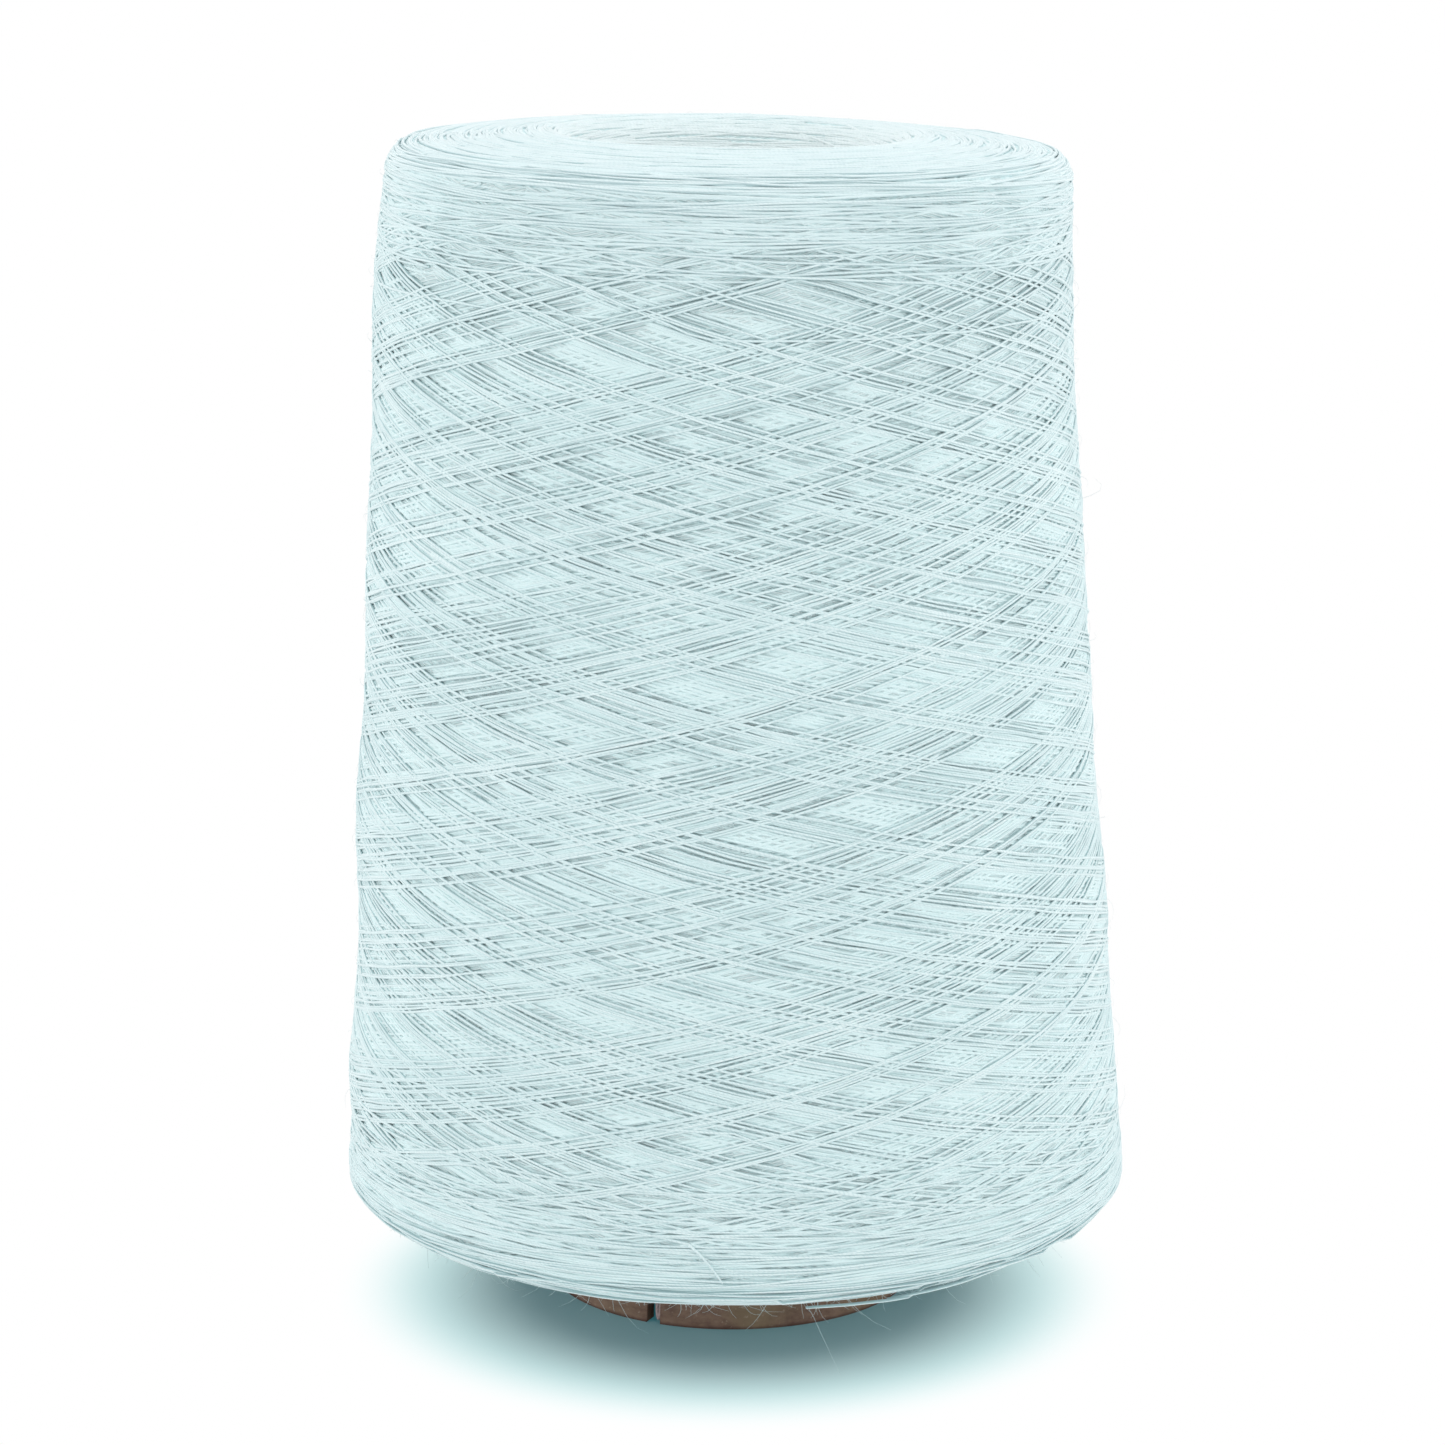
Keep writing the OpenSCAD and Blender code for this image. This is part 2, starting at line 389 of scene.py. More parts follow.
@dataclass(frozen=True)
class ThreadFinish:
    """Matte plied thread: grooves and hairs follow its own maps, with painted shade in its grooves and on
    its sides.

    The crown and the dimple take a part of their own colours, inside their distances from the axis:
    painted shade on the lit crown and painted light in the shaded dimple.
    """

    name: str = "plied_thread"
    crest: Colour = (0.86, 0.965, 0.97)
    shade: Colour = (0.69, 0.84, 0.855)
    # groove: painted shade in the ply grooves, mixed with a random hair tone
    groove: Colour = (0.55, 0.725, 0.745)
    # side: painted shade on the sides of each tube
    side: Colour = (0.34, 0.51, 0.53)
    # deep: painted light on threads deep between others, in place of light scattered into the gaps
    deep: Colour = (0.73, 0.89, 0.90)
    # crown: painted shade that darkens and greys the brightly lit crown
    crown: Colour = (0.73, 0.84, 0.86)
    # dimple: painted light in the shaded hollow of the dimple
    dimple: Colour = (0.84, 0.90, 0.905)
    dimple_within: Range = (24 * MM, 31 * MM)
    crown_within: Range = (49 * MM, 53 * MM)
    crown_above: float = 0.14
    painted_top_shade_and_light_share: float = 0.5
    painted_side_shade_band: Range = (0.58, 1.0)
    painted_gap_light_band: Range = (0.05, 0.6)
    ply_band: Range = (0.05, 0.6)
    ply_share: float = 0.4
    hair_share: float = 2.0
    slow_scale: float = 0.03
    hair_scales: Range = (2.2, 7.0)
    cloud_scale: float = 60.0
    roughness: float = 0.9
    sheen: float = 0.5
    sheen_roughness: float = 0.6
    specular: float = 0.2
    groove_depth: float = 0.02 * MM

    def make(self) -> bpy.types.Material:
        """Builds the thread's shader.

        Returns:
            The material.
        """
        g = Graph.material(self.name)
        along, around = g.uv(ThreadMap.ALONG)
        rise, depth = g.uv(ThreadMap.LIE)
        where, x, y, z = g.place()
        plies = ((along - around) * (2 * TURN)).sine() * 0.5 + 0.5
        slow = g.noise(g.vector(along * self.slow_scale, 0.0, 0.0), 1.0, 3.0, 0.6)
        spot = g.vector(along * self.hair_scales[0], around * self.hair_scales[1], 0.0)
        hairs = g.noise(spot, 1.0, 3.0, 0.7)
        cloud = g.noise(where, self.cloud_scale)
        body = g.mix((slow * 0.75 + cloud * 0.5 - 0.15).between(0.2, 0.8), self.shade, self.crest)
        # painted shade in the ply grooves, mixed with a random hair tone
        dark = (1 - plies.between(*self.ply_band)) * self.ply_share + (0.5 - hairs) * self.hair_share
        colour = g.mix(dark.between(0.0, 1.0), body, self.groove)
        # painted shade on the sides of each tube, where they face away from the package
        colour = g.mix(1 - rise.between(*self.painted_side_shade_band), colour, self.side)
        # painted light on threads deep between others, in place of light scattered into the gaps
        colour = g.mix(depth.between(*self.painted_gap_light_band), colour, self.deep)
        across = x.hypot(y)
        # painted light in the dimple's hollow and painted shade on the lit crown, mixed over the top face
        top = g.mix(across.between(*self.dimple_within), self.dimple, self.crown)
        above = z.between(self.crown_above, self.crown_above + MM)
        inside = (1 - across.between(*self.crown_within)) * above
        return g.surface({
            "Base Color": g.mix(inside * self.painted_top_shade_and_light_share, colour, top),
            "Roughness": self.roughness,
            "Sheen Weight": self.sheen,
            "Sheen Roughness": self.sheen_roughness,
            "Specular IOR Level": self.specular,
            "Normal": g.bump(plies * 0.8 + hairs * 0.45, self.groove_depth),
        })


@dataclass(frozen=True)
class UnderThreadFinish:
    """The mass under the modelled turns: the same thread, crossing both ways, in painted shade that is
    darkest between the lines.
    """

    name: str = "wound_thread"
    crest: Colour = (0.80, 0.93, 0.94)
    # gap: painted shade between the crossing lines of the mass
    gap: Colour = (0.68, 0.85, 0.86)
    spacing: float = 0.6 * MM
    slope: float = math.tan(math.radians(15.5))
    wobble: float = 1.5 * MM
    wobble_scale: float = 90.0
    patch_scale: float = 220.0
    relief: float = 0.12 * MM
    roughness: float = 0.95
    specular: float = 0.2

    def make(self) -> bpy.types.Material:
        """Builds the mass's shader.

        Returns:
            The material.
        """
        g = Graph.material(self.name)
        where, x, y, z = g.place()
        climb = x.math("ARCTAN2", y) * x.hypot(y) * self.slope
        wobble = (g.noise(where, self.wobble_scale, 1.0) - 0.5) * self.wobble
        fall = ((z + climb + wobble) * (TURN / self.spacing)).sine()
        rise = ((z - climb + wobble) * (TURN / self.spacing)).sine()
        over = g.noise(where, self.patch_scale, 1.0).between(0.47, 0.53)
        lines = fall * over + rise * (1 - over)
        return g.surface({
            # painted shade in the gaps between the crossing lines
            "Base Color": g.mix(lines.between(-0.9, 0.5), self.gap, self.crest),
            "Roughness": self.roughness,
            "Specular IOR Level": self.specular,
            "Normal": g.bump(lines, self.relief),
        })


@dataclass(frozen=True)
class KraftFinish:
    """Dark brown kraft paper with short fibres, stained and flecked, and with a painted contact shadow at
    the rim.
    """

    name: str = "kraft_wrap"
    dark: Colour = (0.165, 0.10, 0.075)
    light: Colour = (0.34, 0.225, 0.165)
    fleck: Colour = (0.50, 0.38, 0.30)
    stain: Colour = (0.27, 0.205, 0.125)
    # edge: painted contact shadow along the rim's foot
    edge: Colour = (0.085, 0.04, 0.035)
    rim_shadow_height: float = 0.7 * MM
    rim_shadow_wave: float = 0.6 * MM
    fibre_scales: Range = (14.0, 900.0)
    blotch_scale: float = 130.0
    grain_scale: float = 1400.0
    stain_scale: float = 32.0
    relief: float = 0.1 * MM
    roughness: float = 0.85
    specular: float = 0.25

    def make(self) -> bpy.types.Material:
        """Builds the wrap's shader.

        Returns:
            The material.
        """
        g = Graph.material(self.name)
        where, x, y, z = g.place()
        drawn = g.vector(x.math("ARCTAN2", y) * self.fibre_scales[0], z * self.fibre_scales[1], 0.0)
        fibres = g.noise(drawn, 1.0, 4.0, 0.7)
        blotch = g.noise(where, self.blotch_scale, 3.0, 0.6)
        grain = g.noise(where, self.grain_scale, 2.0, 0.6)
        stains = g.noise(where, self.stain_scale).between(0.5, 0.62) * 0.7
        body = g.mix((fibres * 0.6 + blotch * 0.6 - 0.1).between(0.25, 0.75), self.dark, self.light)
        body = g.mix(stains, body, self.stain)
        body = g.mix(grain.between(0.62, 0.76) * 0.7, body, self.fleck)
        # painted contact shadow, darkest at the rim's foot, with a wavy top
        painted_rim_shadow = (1 - (z + (blotch - 0.5) * self.rim_shadow_wave).between(0.0, self.rim_shadow_height)) * 0.8
        return g.surface({
            "Base Color": g.mix(painted_rim_shadow, body, self.edge),
            "Roughness": self.roughness,
            "Specular IOR Level": self.specular,
            "Normal": g.bump(fibres * 0.6 + grain * 0.4, self.relief),
        })


@dataclass(frozen=True)
class BoardFinish:
    """Rolled board: thin glued plies that show as rings on its cut ends."""

    name: str = "rolled_board"
    dark: Colour = (0.11, 0.07, 0.05)
    light: Colour = (0.24, 0.165, 0.12)
    ply: float = 0.42 * MM
    ply_wave: float = 0.15 * MM
    rough_scale: float = 700.0
    relief: float = 0.08 * MM
    roughness: float = 0.92
    specular: float = 0.2

    def make(self) -> bpy.types.Material:
        """Builds the board's shader.

        Returns:
            The material.
        """
        g = Graph.material(self.name)
        where, x, y, z = g.place()
        across = x.hypot(y) + z * math.tan(TAPER)
        rough = g.noise(where, self.rough_scale, 3.0, 0.7)
        plies = ((across + rough * self.ply_wave) * (TURN / self.ply)).sine()
        shade = (plies * 0.25 + rough * 0.9 + 0.1).between(0.2, 0.95)
        return g.surface({
            "Base Color": g.mix(shade, self.dark, self.light),
            "Roughness": self.roughness,
            "Specular IOR Level": self.specular,
            "Normal": g.bump(plies * 0.3 + rough, self.relief),
        })


@dataclass(frozen=True)
class LinerFinish:
    """Smooth brown paper, wound in a shallow spiral, inside the bore."""

    name: str = "bore_liner"
    dark: Colour = (0.15, 0.1, 0.07)
    light: Colour = (0.27, 0.19, 0.135)
    lap: float = 38 * MM
    lap_edge: Range = (0.02, 0.05)
    grain_scale: float = 500.0
    relief: float = 0.1 * MM
    roughness: float = 0.7
    specular: float = 0.3

    def make(self) -> bpy.types.Material:
        """Builds the liner's shader.

        Returns:
            The material.
        """
        g = Graph.material(self.name)
        where, x, y, z = g.place()
        spiral = (z / self.lap + x.math("ARCTAN2", y) / TURN).math("FRACT")
        edge = spiral.between(0.0, self.lap_edge[0]) - spiral.between(*self.lap_edge)
        grain = g.noise(where, self.grain_scale, 4.0, 0.65)
        body = g.mix(grain.between(0.3, 0.7), self.dark, self.light)
        return g.surface({
            "Base Color": g.mix(edge * 0.5, body, self.dark),
            "Roughness": self.roughness,
            "Specular IOR Level": self.specular,
            "Normal": g.bump(grain * 0.3 + edge, self.relief),
        })


@dataclass(frozen=True)
class FloorFinish:
    """White sweep that the camera sees as white and that keeps the object's shadow, deepened by painted
    shadow with a painted teal glow and a painted cyan fringe.
    """

    name: str = "studio_floor"
    paint: Colour = (0.92, 0.92, 0.92)
    # shadow_paint: darker paint that the camera sees near the object, a painted shadow
    shadow_paint: Colour = (0.38, 0.38, 0.38)
    # glow: painted teal light, bounced from the thread into the shadow
    glow: Colour = (0.0, 0.070, 0.086)
    middle: Point = (0.0, -0.0072, 0.0)
    # painted cyan fringe round the shadow, fading to white
    painted_shadow_fringe: Colour = (0.74, 1.0, 1.0)
    fade: Range = (0.0298, 0.0595)
    clear: Range = (0.044, 0.0625)

    def make(self) -> bpy.types.Material:
        """Builds the floor's shader.

        Returns:
            The material.
        """
        g = Graph.material(self.name)
        # painted shadow near the object: darker paint for the camera with a painted teal glow of bounced
        # light
        sockets = {0: g.matte(self.shadow_paint), 1: g.emission(self.glow)}
        near = g.add("ShaderNodeAddShader", sockets=sockets).out(0)
        sockets = {0: g.place()[0], 1: self.middle}
        far = g.add("ShaderNodeVectorMath", {"operation": "DISTANCE"}, sockets).out("Value")
        # painted cyan fringe of the shadow, fading to white
        light = g.emission(g.mix(far.between(*self.clear), self.painted_shadow_fringe, WHITE))
        sockets = {0: far.between(*self.fade), 1: near, 2: light}
        shown = g.add("ShaderNodeMixShader", sockets=sockets).out(0)
        seen = g.shown_to_camera(g.matte(self.paint), shown)
        g.add("ShaderNodeOutputMaterial", sockets={"Surface": seen})
        return g.owner


@dataclass(frozen=True)
class SurroundFinish:
    """White surround: brightest at the sides and behind, dimmer in front, white to the camera."""

    name: str = "studio_surround"
    tint: Colour = (0.95, 0.985, 1.0)
    front: float = 0.6
    side: float = 1.0
    back: float = 1.04

    def make(self) -> bpy.types.World:
        """Builds the surround's shader.

        Returns:
            The world.
        """
        g = Graph(bpy.data.worlds.new(self.name))
        across, ahead, _ = g.split(g.add("ShaderNodeTexCoord").out("Generated"))
        base = ahead.between(-1.0, 0.6) * (self.back - self.front) + self.front
        strength = base + (across * across).between(0.2, 1.0) * (self.side - self.back)
        light = g.add("ShaderNodeBackground", sockets={"Color": self.tint, "Strength": strength}).out(0)
        white = g.add("ShaderNodeBackground", sockets={"Color": WHITE}).out(0)
        g.add("ShaderNodeOutputWorld", sockets={"Surface": g.shown_to_camera(light, white)})
        return g.owner


# ---------------------------------------------------------------------------------------------
# The package's outline and the thread on it


@dataclass
class Meridian:
    """Half outline of the package's mean surface, followed from the nose to the foot."""

    nose_r: float
    nose_z: float
    crown_z: float
    side_r: float
    side_z: float
    foot_r: float
    foot_z: float
    dimple_out: float = 10.0 * MM
    upper_round: float = 4.1 * MM
    lower_round: float = 4.7 * MM
    bulge: float = 0.6 * MM
    crown_rise: float = 1.7 * MM
    step: float = 0.1 * MM
    arc_points: int = 25
    slope_reach: int = 7
    marks: dict[Stretch, Range] = field(init=False)

    def __post_init__(self) -> None:
        """Measures the outline and keeps its places, radii and normals in a fine table."""
        upper_z = self.crown_z - self.upper_round
        upper_r = self.side_radius(upper_z) - self.upper_round / math.cos(TAPER)
        lower_r = self.side_r - self.lower_round / math.cos(TAPER)
        deep = self.crown_z + self.crown_rise - self.nose_z
        shares = np.linspace(0, 1, self.arc_points)
        half, flat = math.pi / 2, TAPER
        parts = {
            Stretch.DIMPLE: [
                (self.nose_r + self.dimple_out * s, self.nose_z + deep * s * (2 - s)) for s in shares
            ],
            Stretch.CROWN: [],
            Stretch.UPPER_EDGE: self.arc((upper_r, upper_z), self.upper_round, half, flat),
            Stretch.SIDE: [],
            Stretch.LOWER_EDGE: self.arc((lower_r, self.side_z), self.lower_round, flat, -half),
            Stretch.UNDERSIDE: [
                ((lower_r + self.foot_r) / 2, self.foot_z - self.bulge),
                (self.foot_r, self.foot_z),
            ],
        }
        corners = np.array([p for part in parts.values() for p in part])
        run = np.concatenate([[0], np.cumsum(np.linalg.norm(np.diff(corners, axis=0), axis=1))])
        self.length = float(run[-1])
        self.mark(parts, run)
        self.table = np.arange(0.0, self.length, self.step)
        self.r = np.interp(self.table, run, corners[:, 0])
        self.z = np.interp(self.table, run, corners[:, 1])
        slope_r, slope_z = self.slope(self.r), self.slope(self.z)
        size = np.hypot(slope_r, slope_z)
        self.normal_r, self.normal_z = -slope_z / size, slope_r / size

    def mark(self, parts: dict[Stretch, list[Range]], run: Array) -> None:
        """Notes where each stretch begins and ends along the outline.

        Args:
            parts: Corners of each stretch. A straight one has none of its own.
            run: Distance along the outline at each corner.
        """
        self.marks = {}
        last = 0
        for stretch, part in parts.items():
            first = last
            last = first + len(part)
            begin = run[max(first - 1, 0)] if not part or stretch is Stretch.UNDERSIDE else run[first]
            self.marks[stretch] = (float(begin), float(run[last if not part else last - 1]))

    def side_radius(self, z: float) -> float:
        """Returns the radius of the side at a height."""
        return self.side_r - (z - self.side_z) * math.tan(TAPER)

    def arc(self, centre: Range, radius: float, begin: float, end: float) -> list[Range]:
        """Returns points of an arc from one angle to another."""
        angles = np.linspace(begin, end, self.arc_points)
        return [(centre[0] + radius * math.cos(a), centre[1] + radius * math.sin(a)) for a in angles]

    def slope(self, values: Array) -> Array:
        """Returns the slope of values, smoothed over a few steps."""
        kernel = np.ones(2 * self.slope_reach + 1) / (2 * self.slope_reach + 1)
        return np.gradient(np.convolve(np.pad(values, self.slope_reach, mode="edge"), kernel, "valid"))

    def at(self, along: Array) -> tuple[Array, Array, Array, Array]:
        """Returns radius, height and the outward normal's two parts at places on the outline."""
        kept = (self.r, self.z, self.normal_r, self.normal_z)
        return tuple(np.interp(along, self.table, values) for values in kept)

    def radius_at(self, along: float) -> float:
        """Returns the radius at one place on the outline."""
        return float(self.at(np.array([along]))[0][0])


@dataclass(frozen=True)
class SolidsFit:
    """How the threads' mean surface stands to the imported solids."""

    nose_below: float = 7.1 * MM
    nose_gap: float = 0.2 * MM
    crown_above: float = 1.1 * MM
    side_out: float = 2.04 * MM
    side_z: float = 19.3 * MM
    foot_z: float = 14.7 * MM

    def meridian(self, base_r: float, mass_high: Vector) -> Meridian:
        """Makes the outline.

        Args:
            base_r: Outer radius of the paper cone at its base.
            mass_high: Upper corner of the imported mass's box.

        Returns:
            The outline.
        """
        nose_z = mass_high.z - self.nose_below
        return Meridian(
            nose_r=base_r - nose_z * math.tan(TAPER) + self.nose_gap,
            nose_z=nose_z,
            crown_z=mass_high.z + self.crown_above,
            side_r=mass_high.x + self.side_out,
            side_z=self.side_z,
            foot_r=base_r - self.foot_z * math.tan(TAPER),
            foot_z=self.foot_z,
        )


@dataclass(frozen=True)
class Lump:
    """A lump of the package: where its middle is, its reach, and how far it stands out."""

    angle: float
    middle: float
    reach: float
    rise: float


@dataclass
class Unevenness:
    """How far the wound package strays from a true figure of revolution.

    A wave has its share of the swell, its lobes round the package, its twist from foot to crown
    and its phase. The lean, the crown's shift and the tilt each start at a share of the height
    and take another share to reach their full size. Inside held_r nothing moves.
    """

    foot_shift: float = 0.7 * MM
    lean: float = -1.9 * MM
    lean_over: Range = (0.0, 0.85)
    crown_shift: float = 0.6 * MM
    crown_over: Range = (0.8, 0.18)
    tilt: float = math.radians(1.0)
    tilt_over: Range = (0.55, 0.4)
    swell: float = 0.3 * MM
    waves: tuple[tuple[float, float, float, float], ...] = (
        (1.0, 2, 9.0, 0.0),
        (0.8, 3, -17.0, 1.0),
        (0.7, 1, 26.0, 0.0),
    )
    height: float = 0.176
    held_r: float = 20 * MM
    free_r: float = 42 * MM
    lumps: tuple[Lump, ...] = (
        Lump(math.pi, 74 * MM, 12 * MM, 0.75 * MM),
        Lump(math.pi, 26 * MM, 5 * MM, -0.7 * MM),
        Lump(0.0, 50 * MM, 11 * MM, -0.9 * MM),
        Lump(0.0, 138 * MM, 12 * MM, -0.65 * MM),
    )

    def move(self, at: Array) -> Array:
        """Returns points moved as the package is out of true.

        Args:
            at: Points of a true package, one in each row.

        Returns:
            The moved points.
        """
        moved = at.copy()
        r = np.hypot(at[:, 0], at[:, 1])
        angle = np.arctan2(at[:, 1], at[:, 0])
        rise = at[:, 2] / self.height
        free = smooth((r - self.held_r) / (self.free_r - self.held_r))
        total = 0.0
        for share, lobes, twist, phase in self.waves:
            total = total + share * np.sin(lobes * angle + twist * rise + phase)
        grow = 1 + free * self.swell * total / np.maximum(r, MM)
        for lump in self.lumps:
            near = np.exp(-(((at[:, 2] - lump.middle) / lump.reach) ** 2))
            near = near * np.maximum(np.cos(angle - lump.angle), 0) ** 2
            grow = grow + free * lump.rise * near / np.maximum(r, MM)
        moved[:, :2] *= grow[:, None]
        sway = self.foot_shift + self.lean * ramp(rise, self.lean_over)
        sway += self.crown_shift * ramp(rise, self.crown_over)
        moved[:, 0] += free * sway
        moved[:, 2] -= at[:, 0] * math.tan(self.tilt) * ramp(rise, self.tilt_over)
        return moved


@dataclass
class Lay:
    """A length of thread on the package: cell round it, place on the outline, radius and height."""

    cell: Array
    along: Array
    radius: Array
    height: Array


@dataclass
class WoundField:
    """Top of the thread that is wound so far, over cells round the package and along its outline."""

    meridian: Meridian
    around: int = 720
    fine: float = 0.15 * MM
    spare_rows: int = 8
    cells_beside: int = 2
    sink: float = 0.13 * MM
    give: float = 0.22 * MM
    spare: float = 0.03 * MM
    settle_reach: int = 12
    least_bend: float = 0.02
    chunk: int = 360
    look: int = 50
    level_windows: tuple[int, int] = (63, 31)

    def __post_init__(self) -> None:
        """Starts with a bare mass."""
        self.rows = int(self.meridian.length / self.fine) + self.spare_rows
        self.top = np.zeros((self.around, self.rows))

    def step(self, radius: Array | float) -> Array | float:
        """Returns the width of a cell round the package at a radius."""
        return TURN * radius / self.around

    def beside(self, along: Array) -> Array:
        """Returns the numbers of the cells at and beside each place on the outline."""
        first = np.floor(along / self.fine).astype(int)
        return first[:, None] + np.arange(-self.cells_beside, self.cells_beside + 1)

    def reach(self, along: Array, radius: Array) -> tuple[Array, Array]:
        """Finds the cells under a thread.

        Args:
            along: Places on the outline.
            radius: The thread's radius at each.

        Returns:
            The cells, and how far the thread bulges beyond its centre over each.
        """
        steps = self.beside(along)
        off = (steps + 0.5) * self.fine - along[:, None]
        room = radius[:, None] ** 2 - off**2
        bulge = np.where(room > 0, np.sqrt(np.maximum(room, 0)), -1.0)
        return np.clip(steps, 0, self.rows - 1), bulge

    def rest(self, lay: Lay, part: slice) -> Array:
        """Drops a part of a thread on what is under it.

        Args:
            lay: The thread.
            part: The part of it.

        Returns:
            The height at which each point would rest if the thread were slack.
        """
        cells, bulge = self.reach(lay.along[part], lay.radius[part])
        under = self.top[(lay.cell[part] % self.around)[:, None], cells]
        return (under + bulge).max(1) - self.sink

    def press(self, lay: Lay, part: slice) -> None:
        """Adds a part of a thread to the top.

        Args:
            lay: The thread, with its heights.
            part: The part of it.
        """
        cells, bulge = self.reach(lay.along[part], lay.radius[part])
        row = (lay.cell[part] % self.around)[:, None]
        crest = np.where(bulge > 0, lay.height[part, None] + bulge, -1.0)
        self.top[row, cells] = np.maximum(self.top[row, cells], crest)

    def settle(self, slack: Array) -> Array:
        """Lets a thread press into what stands higher under it than its surroundings.

        Args:
            slack: Heights at which its points would rest.

        Returns:
            The heights after it has settled.
        """
        width = 2 * self.settle_reach + 1
        mean = np.convolve(np.pad(slack, self.settle_reach, mode="edge"), np.ones(width), "valid")
        level = mean / width + self.spare
        return np.maximum(slack - self.give, np.minimum(slack, level))

    def taut(self, slack: Array, along: Array) -> Array:
        """Pulls a thread straight between the points that hold it up.

        Args:
            slack: Heights at which its points would rest.
            along: Their places on the outline.

        Returns:
            The heights of the taut thread.
        """
        r, _, normal_r, _ = self.meridian.at(along)
        bend = float(np.mean(np.maximum(normal_r, self.least_bend) / r * self.step(r) ** 2 / 2))
        count, reach = len(slack), self.look // 2
        shifts = range(-reach, reach + 1)
        wide = np.pad(slack, reach, mode="edge")
        over = np.max([wide[reach + j : reach + j + count] - bend * j * j for j in shifts], 0)
        wide = np.pad(over, reach, mode="edge")
        return np.min([wide[reach + j : reach + j + count] + bend * j * j for j in shifts], 0)

    def wind(self, lay: Lay) -> None:
        """Lays a thread over the field, in chunks of under one turn.

        Args:
            lay: The thread, which gets its heights.
        """
        count = len(lay.cell)
        slack = np.zeros(count)
        for start in range(0, count, self.chunk):
            stop = min(start + self.chunk, count)
            ahead = min(stop + self.look, count)
            slack[start:ahead] = self.rest(lay, slice(start, ahead))
            back = max(start - self.look, 0)
            pulled = self.taut(self.settle(slack[back:ahead]), lay.along[back:ahead])
            lay.height[start:stop] = pulled[start - back : stop - back]
            self.press(lay, slice(start, stop))

    def level(self) -> Array:
        """Averages the top over a patch of many threads.

        Returns:
            The height near each cell.
        """
        round_it, along_it = (np.hanning(count)[1:-1] for count in self.level_windows)
        reach = len(round_it) // 2
        wide = np.pad(self.top, ((reach, reach), (0, 0)), mode="wrap")
        smoothed = sum(w * wide[i : i + self.around] for i, w in enumerate(round_it / round_it.sum()))
        reach = len(along_it) // 2
        wide = np.pad(smoothed, ((0, 0), (reach, reach)), mode="edge")
        return sum(w * wide[:, i : i + self.rows] for i, w in enumerate(along_it / along_it.sum()))


# ---------------------------------------------------------------------------------------------
# Strands and their meshes


@dataclass
class Strand:
    """One open length of thread in space, with its radius at each point.

    A thread on the package also has the outward direction there, how clearly its relief shows,
    and its depth as a share.
    """

    points: Array
    radius: Array
    outward: Array | None = None
    relief: Array | None = None
    depth: Array | None = None

    def __post_init__(self) -> None:
        """Leaves a free thread without relief or depth."""
        if self.outward is None:
            self.outward = np.zeros_like(self.points)
            self.relief = np.zeros(len(self.points))
            self.depth = np.zeros(len(self.points))

    def run(self) -> Array:
        """Returns the distance along the strand at each of its points."""
        steps = np.linalg.norm(np.diff(self.points, axis=0), axis=1)
        return np.concatenate([[0], np.cumsum(steps)])


